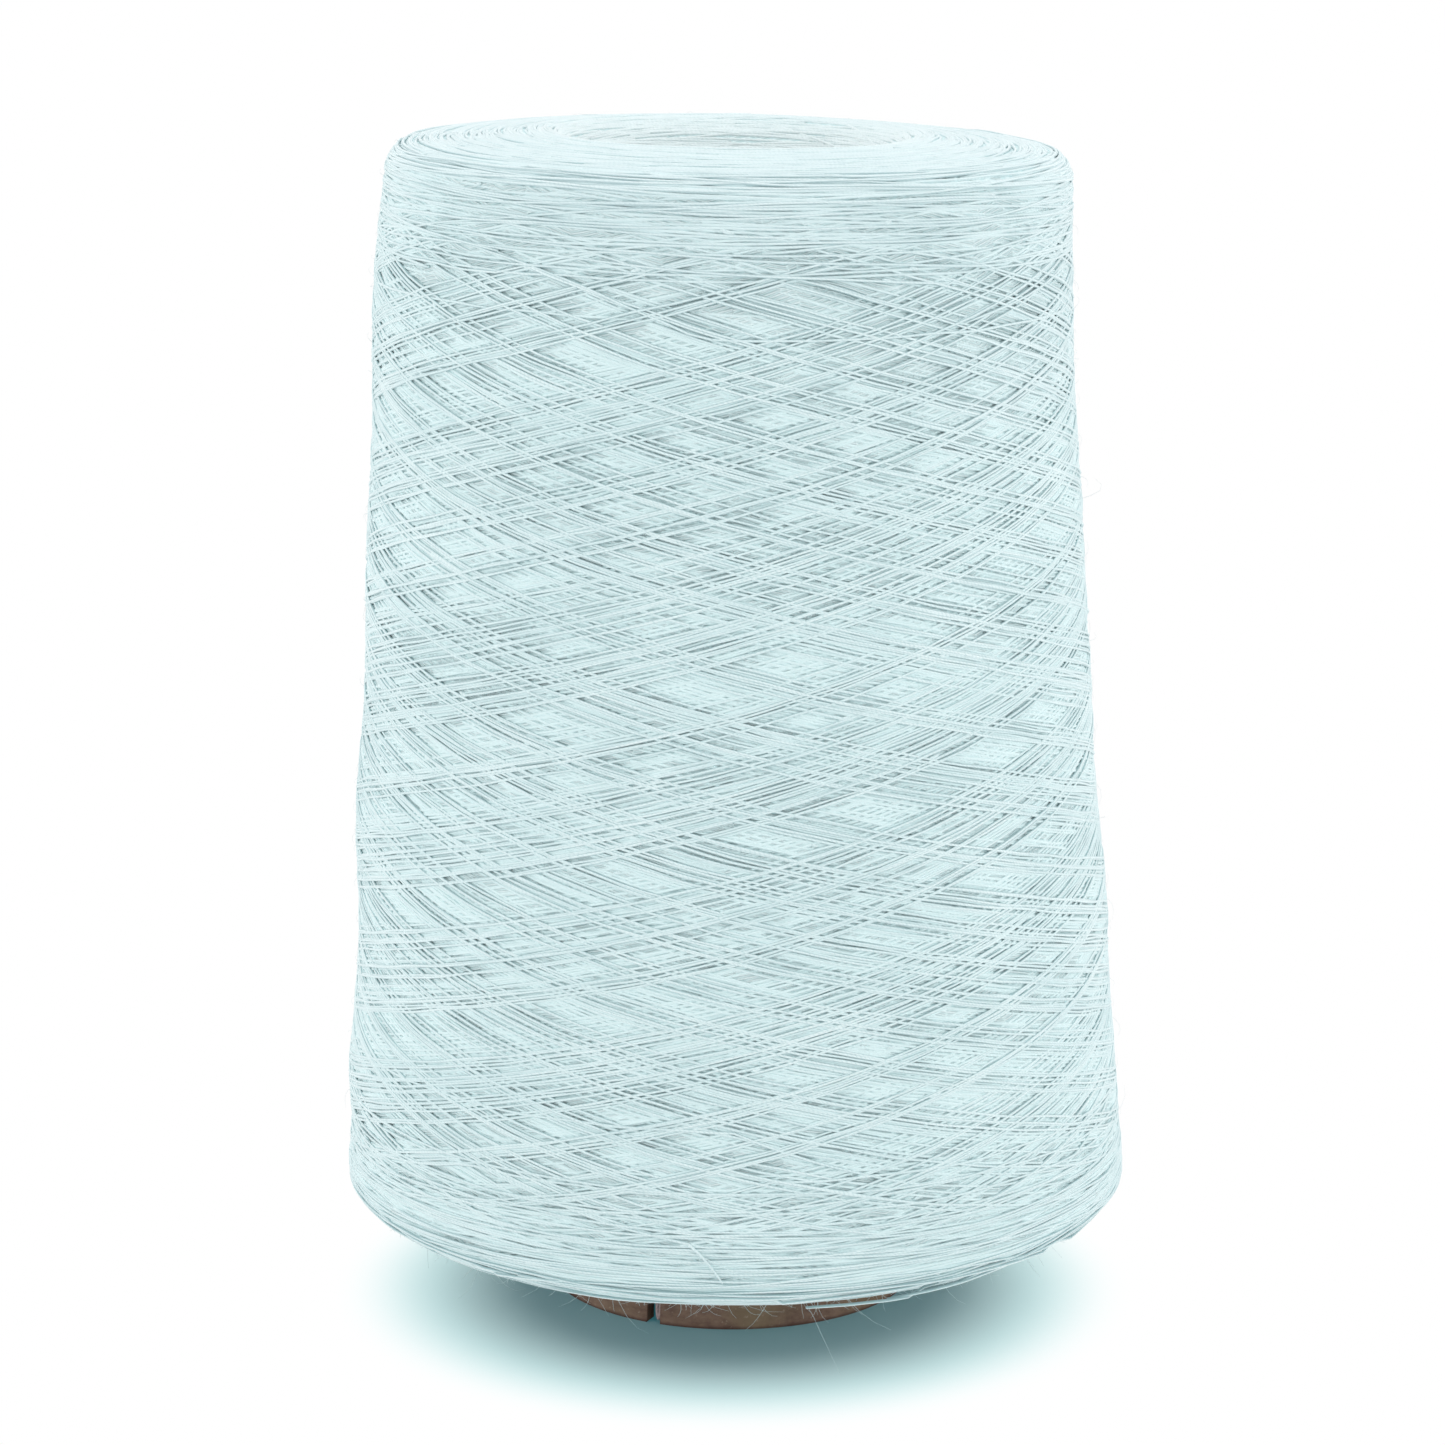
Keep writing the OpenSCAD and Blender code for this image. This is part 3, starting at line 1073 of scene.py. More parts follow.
@dataclass
class StrandMesh:
    """Turns strands into one mesh of closed tubes with their maps.

    A free thread is as light as one whose outwardness is free_rise. In the bake's map each ring
    has a square tile. Its first part, cap_width wide, is for a cap and the rest for the segment
    that follows the ring, with a gap at both sides of it.
    """

    name: str
    strands: list[Strand]
    twist: float = 1.4 * MM
    sides: int = TUBE_SIDES
    free_rise: float = 0.93
    cap_width: float = 0.12
    tile_gap: float = 0.04

    def curve(self) -> bpy.types.Object:
        """Makes a curve of round lines.

        Returns:
            The curve object, which holds every strand.
        """
        data = bpy.data.curves.new(self.name, "CURVE")
        data.dimensions = "3D"
        data.bevel_depth = 1.0
        data.bevel_resolution = (self.sides - 4) // 2
        data.use_fill_caps = True
        for strand in self.strands:
            count = len(strand.points)
            line = data.splines.new("POLY")
            line.points.add(count - 1)
            line.points.foreach_set("co", np.c_[strand.points, np.ones(count)].ravel())
            line.points.foreach_set("radius", strand.radius)
        return put_in_scene(self.name, data)

    def build(self) -> bpy.types.Object:
        """Makes the tubes and closes their caps.

        Returns:
            The mesh object.
        """
        source = self.curve()
        graph = bpy.context.evaluated_depsgraph_get()
        mesh = bpy.data.meshes.new_from_object(source.evaluated_get(graph), depsgraph=graph)
        mesh.name = self.name
        curve = source.data
        bpy.data.objects.remove(source)
        bpy.data.curves.remove(curve)
        self.map(mesh)
        mesh.shade_smooth()
        work = bmesh.new()
        work.from_mesh(mesh)
        bmesh.ops.remove_doubles(work, verts=work.verts, dist=SAME_PLACE)
        work.to_mesh(mesh)
        work.free()
        return put_in_scene(self.name, mesh)

    def map(self, mesh: bpy.types.Mesh) -> None:
        """Fills the three maps. The mesh still has its caps' vertices first, and then its rings.

        Args:
            mesh: The tubes, before their doubles are merged.
        """
        counts = np.array([len(s.points) for s in self.strands])
        caps = 2 * self.sides * len(counts)
        vertex, begin, face = self.corners(mesh)
        is_cap = vertex < caps
        end_of = np.where(vertex // self.sides % 2 == 0, 1, 0)
        firsts = np.concatenate([[0], np.cumsum(counts)[:-1]])
        owner = np.clip(vertex // (2 * self.sides), 0, len(counts) - 1)
        cap_ring = firsts[owner] + end_of * (counts[owner] - 1)
        ring = np.where(is_cap, cap_ring, (vertex - caps) // self.sides)
        side = (vertex - caps) % self.sides
        lowest = np.minimum.reduceat(ring, begin)[face]
        span = np.maximum.reduceat(side, begin) - np.minimum.reduceat(side, begin)
        wraps = span[face] == self.sides - 1
        share = np.where(wraps & (side == 0) & ~is_cap, self.sides, side) / self.sides
        turns = np.concatenate([s.run() / self.twist for s in self.strands])
        self.fill(mesh, ThreadMap.ALONG, turns[ring], share)
        self.fill(mesh, ThreadMap.LIE, *self.lie(mesh, vertex, ring))
        self.fill(mesh, ThreadMap.BAKE, *self.tiles(lowest, ring - lowest, share, is_cap))

    @staticmethod
    def corners(mesh: bpy.types.Mesh) -> tuple[Array, Array, Array]:
        """Reads the corners of a mesh's faces.

        Args:
            mesh: The mesh.

        Returns:
            The vertex of each corner, the first corner of each face, and the face of each corner.
        """
        vertex = np.empty(len(mesh.loops), np.int32)
        begin = np.empty(len(mesh.polygons), np.int32)
        size = np.empty(len(mesh.polygons), np.int32)
        mesh.loops.foreach_get("vertex_index", vertex)
        mesh.polygons.foreach_get("loop_start", begin)
        mesh.polygons.foreach_get("loop_total", size)
        return vertex, begin, np.repeat(np.arange(len(size)), size)

    def lie(self, mesh: bpy.types.Mesh, vertex: Array, ring: Array) -> tuple[Array, Array]:
        """Works out how each corner lies on the package.

        Args:
            mesh: The tubes.
            vertex: The vertex of each corner.
            ring: The ring of each corner.

        Returns:
            How far each corner faces outwards, from 0 to 1, and its depth as a share.
        """
        points, radius, outward, relief, depth = (
            np.concatenate([getattr(s, name) for s in self.strands])
            for name in ("points", "radius", "outward", "relief", "depth")
        )
        at = np.empty(3 * len(mesh.vertices), np.float32)
        mesh.vertices.foreach_get("co", at)
        from_core = at.reshape(-1, 3)[vertex] - points[ring]
        # outwardness, which the thread's shader turns into painted shade on the tube's sides
        rise = 0.5 + 0.5 * (from_core * outward[ring]).sum(1) / radius[ring]
        return self.free_rise + relief[ring] * (rise - self.free_rise), depth[ring]

    def tiles(self, tile: Array, ahead: Array, share: Array, is_cap: Array) -> tuple[Array, Array]:
        """Gives each face a part of the bake's map to itself.

        Args:
            tile: Number of the tile of each corner's face.
            ahead: 0 for a corner at the face's first ring, 1 at its second.
            share: Each corner's share round the tube.
            is_cap: Whether its face is part of a cap.

        Returns:
            Both parts of the map.
        """
        across = math.ceil(math.sqrt(sum(len(s.points) for s in self.strands)))
        turn = TURN * share
        u = self.cap_width + (1 - self.cap_width) * np.clip(ahead, 0, 1)
        v = self.tile_gap + (1 - 2 * self.tile_gap) * share
        u = np.where(is_cap, self.cap_width * (0.45 + 0.4 * np.cos(turn)), u)
        v = np.where(is_cap, 0.5 + 0.4 * np.sin(turn), v)
        return (tile % across + u) / across, (tile // across + v) / across

    @staticmethod
    def fill(mesh: bpy.types.Mesh, which: ThreadMap, u: Array, v: Array) -> None:
        """Writes one map."""
        layer = mesh.uv_layers.new(name=which.value, do_init=False)
        layer.uv.foreach_set("vector", np.stack([u, v], 1).astype(np.float32).ravel())


def finish_piece(piece: bpy.types.Object, material: bpy.types.Material) -> bpy.types.Object:
    """Dresses a new piece and fixes it to the object's one body.

    Args:
        piece: The piece, in place.
        material: Its material.

    Returns:
        The piece.
    """
    piece.data.materials.clear()
    piece.data.materials.append(material)
    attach(piece, BODY)
    log.info("%s: %d faces", piece.name, len(piece.data.polygons))
    return piece


# ---------------------------------------------------------------------------------------------
# The wound package


@dataclass
class ThreadPackage:
    """The wound thread: a plain mass inside, and every turn that shows modelled over it.

    Names that end in _mm are in millimetres. Waves are lengths and heights, and in
    thickness_waves the heights are shares of the radius. crown_arcs and under_arcs give the share
    of the face that the arcs cover, and their bow. upper_arcs and lower_arcs give the nearest, the
    likeliest and the farthest place of a late arc from where the edge begins, and their number.
    The shoulder and the skirt show more relief: how far down they are, their reach and the gain.
    """

    meridian: Meridian
    uneven: Unevenness
    thread: bpy.types.Material
    mass: bpy.types.Material
    radius: float = 0.23 * MM
    thickness_waves: Waves = ((45 * MM, 0.05), (160 * MM, 0.05), (17 * MM, 0.07), (9.5 * MM, 0.07))
    slub_every: float = 0.9
    slub_half_mm: Range = (2.5, 9)
    slub_swell: Range = (0.2, 0.75)
    lines: int = 16
    rounds: int = 25
    turns_per_double: float = 4 + 5 / 16
    turn_error: float = 0.0003
    jump_share: float = 0.025
    jump: float = 0.01
    slope: float = math.radians(14)
    join: float = 0.66
    narrow: Range = (0.92, 1.1)
    wide: Range = (1.3, 3.1)
    edge_inset: Range = (2.0 * MM, 2.5 * MM)
    dwell: float = 0.05
    turn_bend: float = 0.12
    slip_shape: float = 1.2
    slip: float = 4.5 * MM
    slip_below: float = -0.7
    slip_turns: float = 0.34
    slack: float = 0.2 * MM
    stray_ends: float = 0.2
    long_waves: Waves = ((95 * MM, 0.1 * MM), (610 * MM, 0.25 * MM), (38 * MM, 0.06 * MM))
    short_waves: Waves = ((21 * MM, 0.06 * MM), (12.5 * MM, 0.05 * MM))
    face_reach: float = 9 * MM
    spacing: float = 2.2
    spiral_sweeps: int = 4
    spiral_waves: Waves = ((67 * MM, 0.2 * MM), (149 * MM, 0.4 * MM), (31 * MM, 0.07 * MM))
    crown_arcs: Range = (1.6, 7 * MM)
    under_arcs: Range = (1.3, -4 * MM)
    arc_span: Range = (0.4, 1.0)
    arc_waves: Waves = ((30 * MM, 0.1 * MM),)
    least_arc: int = 8
    drift: float = 3.5 * MM
    upper_arcs: tuple[float, float, float, int] = (-1 * MM, 4 * MM, 17 * MM, 58)
    lower_arcs: tuple[float, float, float, int] = (-13 * MM, -1 * MM, 5 * MM, 40)
    late_span: Range = (0.4, 1.3)
    late_drift: float = 7 * MM
    late_bow_mm: float = 5
    end_dip: float = 0.6 * MM
    dip_reach: float = 7 * MM
    proud: float = 0.25 * MM
    show_depth: float = 1.3 * MM
    peep: float = 0.3 * MM
    grow_cells: int = 6
    least_cells: int = 14
    ring_gap: float = 3.4 * MM
    most_cells: int = 9
    flatten: float = 0.27
    dimple_relief: float = 0.14
    lip_relief: float = 0.35
    lip_out: float = 2 * MM
    edge_relief: float = 0.7
    under_relief: float = 0.25
    relief_reach: float = 4 * MM
    flank: Range = (0.78, 0.18)
    flank_relief: float = 0.72
    shoulder: tuple[float, float, float] = (15 * MM, 14 * MM, 1.0)
    skirt: tuple[float, float, float] = (-4 * MM, 5 * MM, 0.6)
    mass_rings: int = 150
    mass_steps: int = 240
    mass_inner: tuple[Range, Range] = ((0.02 * MM, 1.6 * MM), (0.3 * MM, 0.4 * MM))

    def __post_init__(self) -> None:
        """Starts an empty field."""
        self.rng = np.random.default_rng(SEED)
        self.field = WoundField(self.meridian)
        self.built = self.field.top
        self.side_lay: Lay | None = None
        self.face_lays: dict[Stretch, list[Lay]] = {}

    # Paths

    def thickness(self, count: int, step: float) -> Array:
        """Varies the thread's radius along it, with slow changes and a slub here and there.

        Args:
            count: Number of points.
            step: Distance from one point to the next.

        Returns:
            The radius at each point.
        """
        at = np.arange(count) * step
        radius = 1 + wander(self.rng, at, self.thickness_waves)
        for _ in range(int(count * step / self.slub_every)):
            middle = self.rng.uniform(0, count * step)
            half = self.rng.uniform(*self.slub_half_mm) * MM
            near = slice(int(max(middle - 3 * half, 0) / step), int((middle + 3 * half) / step) + 1)
            swell = self.rng.uniform(*self.slub_swell)
            radius[near] += swell * np.exp(-(((at[near] - middle) / half) ** 2))
        return self.radius * radius

    def new_lay(self, cell: Array, along: Array, step: float) -> Lay:
        """Returns a thread on given cells and places, not yet laid."""
        radius = self.thickness(len(cell), step)
        return Lay(cell, along, radius, np.zeros(len(cell)))

    def side_path(self) -> Lay:
        """Leads the one long thread up and down the side, with slips where it turns back.

        Returns:
            The thread, not yet laid.
        """
        rng, passes = self.rng, 2 * self.lines * self.rounds
        top = self.meridian.marks[Stretch.UPPER_EDGE][0] + self.edge_inset[0]
        low = self.meridian.marks[Stretch.LOWER_EDGE][0] + self.edge_inset[1]
        stray, creep = self.bands()
        turns = (self.turns_per_double + creep) / 2 + rng.normal(0, self.turn_error, passes)
        jumps = rng.random(passes) < self.jump_share
        turns[jumps] += rng.normal(0, self.jump, jumps.sum())
        knots = np.concatenate([[0], np.cumsum(turns)])
        cell = np.arange(int(knots[-1] * self.field.around))
        at = cell / self.field.around
        which = np.clip(np.searchsorted(knots, at, side="right") - 1, 0, passes - 1)
        share = (at - knots[which]) / turns[which]
        share = np.clip((share - self.dwell) / (1 - 2 * self.dwell), 0, 1)
        risen = self.eased(share)
        along = np.where(which % 2 == 0, top + (low - top) * risen, low + (top - low) * risen)
        slip = rng.gamma(self.slip_shape, self.slip, passes + 1)
        slip[1::2] *= self.slip_below
        since = np.clip(1 - share * turns[which] / self.slip_turns, 0, 1) ** 2
        until = np.clip(1 - (1 - share) * turns[which] / self.slip_turns, 0, 1) ** 2
        along += slip[which] * since + slip[which + 1] * until
        slack = rng.normal(0, self.slack, passes + 1)
        along += slack[which] * (1 - share) + slack[which + 1] * share
        along += stray[which] * smooth(share / self.stray_ends) * smooth((1 - share) / self.stray_ends)
        run = at * TURN * self.meridian.side_r
        along += wander(rng, run, self.long_waves)
        along += wander(rng, run, self.short_waves)
        return self.new_lay(cell, along, self.field.step(self.meridian.side_r))

    def eased(self, share: Array) -> Array:
        """Bends both ends of a pass round to its turning points.

        Args:
            share: Share of each pass's turns.

        Returns:
            Share of its way along the outline.
        """
        bend = self.turn_bend
        steep = 1 / (1 - bend)
        eased = np.where(share < bend, share**2 / (2 * bend), share - bend / 2)
        late = share > 1 - bend
        eased[late] = (1 / steep) - (1 - share[late]) ** 2 / (2 * bend)
        return steep * eased

    def bands(self) -> tuple[Array, float]:
        """Groups the passes in bands of threads that touch, with gaps between the bands.

        Returns:
            How far each pass strays along the outline, and the mean creep of a double pass in turns.
        """
        rng, shape = self.rng, (self.rounds, 2 * self.lines)
        thick = 2 * self.radius
        near, far = rng.uniform(*self.narrow, shape), rng.uniform(*self.wide, shape)
        steps = np.where(rng.random(shape) < self.join, near, far) * thick
        mean = float(steps.mean())
        stray = (np.cumsum(steps - mean, 0) - rng.uniform(0, mean, shape[1])) / math.cos(self.slope)
        stray[:, ::2] *= -1
        middle = self.meridian.side_radius(self.meridian.nose_z / 2)
        return stray.ravel(), mean / math.sin(self.slope) / (TURN * middle * self.lines)

    def on_outline(self, along: Array) -> Array:
        """Returns places kept within the outline's ends."""
        return np.clip(along, self.field.fine, self.meridian.length - self.field.fine)

    def face_arc(self, along: float, turn: float, span: float, drift: float, bow: float) -> Lay:
        """Leads one arc of thread that shows on a face where the winding turns back.

        Args:
            along: Mean place on the outline.
            turn: Place of its beginning round the package, as a share of a turn.
            span: Its length round the package, as a share of a turn.
            drift: How far it moves along the outline over its length.
            bow: How much farther along the outline its ends lie than its middle.

        Returns:
            The arc, not yet laid.
        """
        around = self.field.around
        count = max(int(span * around), self.least_arc)
        cell = int(turn * around) + np.arange(count) + around
        share = np.linspace(-1, 1, count)
        r = self.meridian.radius_at(along)
        path = along + drift * share / 2 + bow * (share**2 - 1 / 3)
        path += wander(self.rng, share * span * TURN * r / 2, self.arc_waves)
        return self.new_lay(cell, self.on_outline(path), self.field.step(r))

    def face_spiral(self, low: float, high: float) -> Lay:
        """Leads one long thread that circles a face and drifts to and fro over it.

        Args:
            low: Where the face begins on the outline.
            high: Where it ends.

        Returns:
            The thread, not yet laid.
        """
        turns = self.spiral_sweeps * (high - low) / (self.spacing * self.radius)
        cell = np.arange(int(turns * self.field.around))
        at = cell / self.field.around
        sweep = at / turns * self.spiral_sweeps
        r = self.meridian.radius_at((low + high) / 2)
        along = low + (high - low) * np.abs((sweep + 1) % 2 - 1)
        along += wander(self.rng, at * TURN * r, self.spiral_waves)
        return self.new_lay(cell, self.on_outline(along), self.field.step(r))

    # Winding

    def wind_arc(self, lay: Lay, radius: float) -> None:
        """Winds an arc, and lets both its ends run down between its neighbours.

        Args:
            lay: The arc, which gets its heights.
            radius: Radius of the package there.
        """
        self.field.wind(lay)
        count = len(lay.cell)
        edge = np.minimum(np.arange(count), np.arange(count)[::-1]) * self.field.step(radius)
        lay.height -= self.end_dip * (1 - smooth(edge / self.dip_reach))

    def wind_face(self, low: float, high: float, cover: float, bow: float) -> list[Lay]:
        """Winds a face: a spiral to and fro, and single arcs over it.

        Args:
            low: Where the face begins on the outline.
            high: Where it ends.
            cover: Share of it that the arcs cover.
            bow: Most that the ends of an arc lie farther along the outline than its middle.

        Returns:
            The threads, laid.
        """
        rng = self.rng
        spiral = self.face_spiral(low, high)
        self.field.wind(spiral)
        made = [spiral]
        places = np.linspace(low, high, 400)
        weight = self.meridian.at(places)[0]
        area = float(TURN * weight.mean() * (high - low))
        need, laid = cover * area / (2 * self.radius), 0.0
        while laid < need:
            along = rng.choice(places, p=weight / weight.sum()) + rng.uniform(-1, 1) * MM
            r = self.meridian.radius_at(along)
            span = rng.uniform(*self.arc_span)
            turn, drift = rng.uniform(), rng.normal(0, self.drift)
            lay = self.face_arc(along, turn, span, drift, bow * rng.random())
            self.wind_arc(lay, r)
            laid += span * TURN * r
            made.append(lay)
        return made

    def wind_late(self, places: Array) -> list[Lay]:
        """Winds the last arcs, which lie nearly level over the side near an edge.

        Args:
            places: Mean place of each on the outline.

        Returns:
            The arcs, laid.
        """
        rng, made = self.rng, []
        for along in places:
            turn, span = rng.uniform(), rng.uniform(*self.late_span)
            drift, bow = rng.normal(0, self.late_drift), rng.uniform(0, self.late_bow_mm) * MM
            lay = self.face_arc(along, turn, span, drift, bow)
            self.wind_arc(lay, self.meridian.side_r)
            made.append(lay)
        return made

    def wind(self) -> None:
        """Winds the faces, then the side, and last the arcs at both edges."""
        marks = self.meridian.marks
        low, high = marks[Stretch.DIMPLE][0], marks[Stretch.UPPER_EDGE][1] + self.face_reach
        self.face_lays[Stretch.CROWN] = self.wind_face(low, high, *self.crown_arcs)
        low, high = marks[Stretch.LOWER_EDGE][0] - self.face_reach, marks[Stretch.UNDERSIDE][1]
        self.face_lays[Stretch.UNDERSIDE] = self.wind_face(low, high, *self.under_arcs)
        self.side_lay = self.side_path()
        self.field.wind(self.side_lay)
        for edge, arcs in ((Stretch.UPPER_EDGE, self.upper_arcs), (Stretch.LOWER_EDGE, self.lower_arcs)):
            places = marks[edge][0] + self.rng.triangular(*arcs)
            self.face_lays[edge] = self.wind_late(places)
        self.built = self.field.level() + self.proud
        log.info("wound %d side cells, built %.1f mm", len(self.side_lay.cell), self.built.max() / MM)

    # What shows

    def height_built(self, cell: Array, along: Array) -> Array:
        """Reads the level that the winding reached.

        Args:
            cell: Cells round the package.
            along: Places on the outline.

        Returns:
            The level at each.
        """
        at = np.clip(along / self.field.fine - 0.5, 0, self.field.rows - 1.001)
        row, share = at.astype(int), at % 1
        line = cell % self.field.around
        return self.built[line, row] * (1 - share) + self.built[line, row + 1] * share

    def shows(self, lay: Lay) -> Array:
        """Finds what of a thread can be seen through what was wound over it.

        Args:
            lay: The thread, laid.

        Returns:
            Whether each of its points shows.
        """
        cells = np.clip(self.field.beside(lay.along), 0, self.field.rows - 1)
        over = self.field.top[(lay.cell % self.field.around)[:, None], cells]
        crest = lay.height + lay.radius
        near = crest > self.height_built(lay.cell, lay.along) - self.show_depth
        return (over.min(1) < crest + self.peep) & near

    def runs(self, mask: Array) -> list[tuple[int, int]]:
        """Finds the stretches of a mask, widened and joined, that are long enough.

        Args:
            mask: Whether each point shows.

        Returns:
            The first point of each stretch and the one after its last.
        """
        wide = np.convolve(mask, np.ones(2 * self.grow_cells + 1), "same") > 0.5
        edges = np.flatnonzero(np.diff(np.concatenate([[0], wide.astype(int), [0]])))
        return [(a, b) for a, b in edges.reshape(-1, 2) if b - a >= self.least_cells]

    def relief(self, along: Array, angle: Array | float) -> Array:
        """Returns how clearly the thread's relief shows.

        It shows less on the two faces and on the flanks than on the rest of the side.

        Args:
            along: Places on the outline.
            angle: Angles round the package.

        Returns:
            The share of the relief that shows.
        """
        edge = self.meridian.marks[Stretch.UPPER_EDGE][0]
        foot = self.meridian.marks[Stretch.UNDERSIDE][0]
        lip = self.meridian.marks[Stretch.DIMPLE][1]
        reach = self.relief_reach
        places = (lip - reach, lip + self.lip_out, edge, foot, foot + reach)
        kept = (self.dimple_relief, self.lip_relief, self.edge_relief, self.edge_relief, self.under_relief)
        face = np.interp(along, places, kept)
        full = smooth((along - edge) / reach) * smooth((foot - along) / reach + 1)
        clear = 0.0
        for start, (after, width, gain) in ((edge, self.shoulder), (foot, self.skirt)):
            clear = clear + gain * np.exp(-(((along - start - after) / width) ** 2))
        flank = ramp(np.abs(np.cos(angle)), self.flank)
        shown = face + (1 - face + clear * (1 - flank)) * full
        return (1 - (1 - self.flank_relief) * flank) * shown

    def strands(self, lay: Lay) -> list[Strand]:
        """Puts the parts of a thread that show in their places.

        Args:
            lay: The thread, laid.

        Returns:
            A strand for each part.
        """
        made = []
        middle = float(np.median(self.meridian.at(lay.along)[0]))
        ring_step = min(int(self.ring_gap / self.field.step(middle)), self.most_cells)
        for begin, end in self.runs(self.shows(lay)):
            picks = np.unique(np.r_[np.arange(begin, end - 1, ring_step), end - 1])
            r, z, normal_r, normal_z = self.meridian.at(lay.along[picks])
            off = lay.height[picks] - self.height_built(lay.cell[picks], lay.along[picks])
            angle = (lay.cell[picks] + 0.5) * TURN / self.field.around
            relief = self.relief(lay.along[picks], angle)
            move = off * self.flatten * relief
            points = cylindrical(r + normal_r * move, angle, z + normal_z * move)
            outward = cylindrical(normal_r, angle, normal_z)
            # depth share, which the thread's shader turns into painted light in the gaps
            depth = np.clip(-off / self.show_depth, 0, 1) * relief
            made.append(Strand(self.uneven.move(points), lay.radius[picks], outward, relief, depth))
        return made

    # Pieces

    def pieces(self, name: str, strands: list[Strand]) -> list[bpy.types.Object]:
        """Makes pieces of a bounded size.

        Args:
            name: What their names begin with.
            strands: The strands that they hold, in their order.

        Returns:
            The pieces.
        """
        groups, size = [[]], 0
        for strand in strands:
            faces = 2 * TUBE_SIDES * len(strand.points)
            if size + faces > MOST_TRIANGLES:
                groups.append([])
                size = 0
            groups[-1].append(strand)
            size += faces
        made = []
        for number, group in enumerate(groups, 1):
            piece = StrandMesh(f"{name}_{number}", group).build()
            made.append(finish_piece(piece, self.thread))
        return made

    def build_mass(self) -> bpy.types.Object:
        """Spins the closed mass under the modelled turns.

        Returns:
            The mass.
        """
        m = self.meridian
        along = np.linspace(0, m.length - m.step, self.mass_rings)
        r, z, normal_r, normal_z = m.at(along)
        rows = (np.arange(self.field.rows) + 0.5) * self.field.fine
        depth = np.minimum(np.interp(along, rows, self.built.mean(0)), self.show_depth)
        depth *= self.flatten * self.relief(along, 0.0)
        outline = list(zip(r - normal_r * depth, z - normal_z * depth))
        for (out, up), (at_r, at_z) in zip(self.mass_inner, ((m.foot_r, m.foot_z), (m.nose_r, m.nose_z))):
            outline.append((at_r + out, at_z + up))
        work = bmesh.new()
        chain = [work.verts.new((a, 0, c)) for a, c in outline]
        edges = [work.edges.new((a, b)) for a, b in zip(chain, chain[1:] + chain[:1])]
        bmesh.ops.spin(
            work,
            geom=chain + edges,
            cent=(0, 0, 0),
            axis=(0, 0, 1),
            angle=TURN,
            steps=self.mass_steps,
            use_merge=True,
            use_duplicate=False,
        )
        bmesh.ops.remove_doubles(work, verts=work.verts, dist=SAME_PLACE)
        bmesh.ops.recalc_face_normals(work, faces=work.faces)
        for vertex in work.verts:
            vertex.co = Vector(self.uneven.move(np.array([vertex.co[:]]))[0])
        for face in work.faces:
            face.smooth = True
        made = put_mesh("thread_mass", work)
        finish_piece(made, self.mass)
        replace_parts(made, "yarn_mass")
        return made

    def build(self) -> None:
        """Winds the thread and makes all its pieces."""
        self.wind()
        self.build_mass()
        for stretch, lays in self.face_lays.items():
            strands = [s for lay in lays for s in self.strands(lay)]
            self.pieces(f"{stretch.value}_threads", strands)
        sides = self.pieces("side_threads", self.strands(self.side_lay))
        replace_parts(sides[-1], "outer_turns")


# ---------------------------------------------------------------------------------------------
# Loose ends


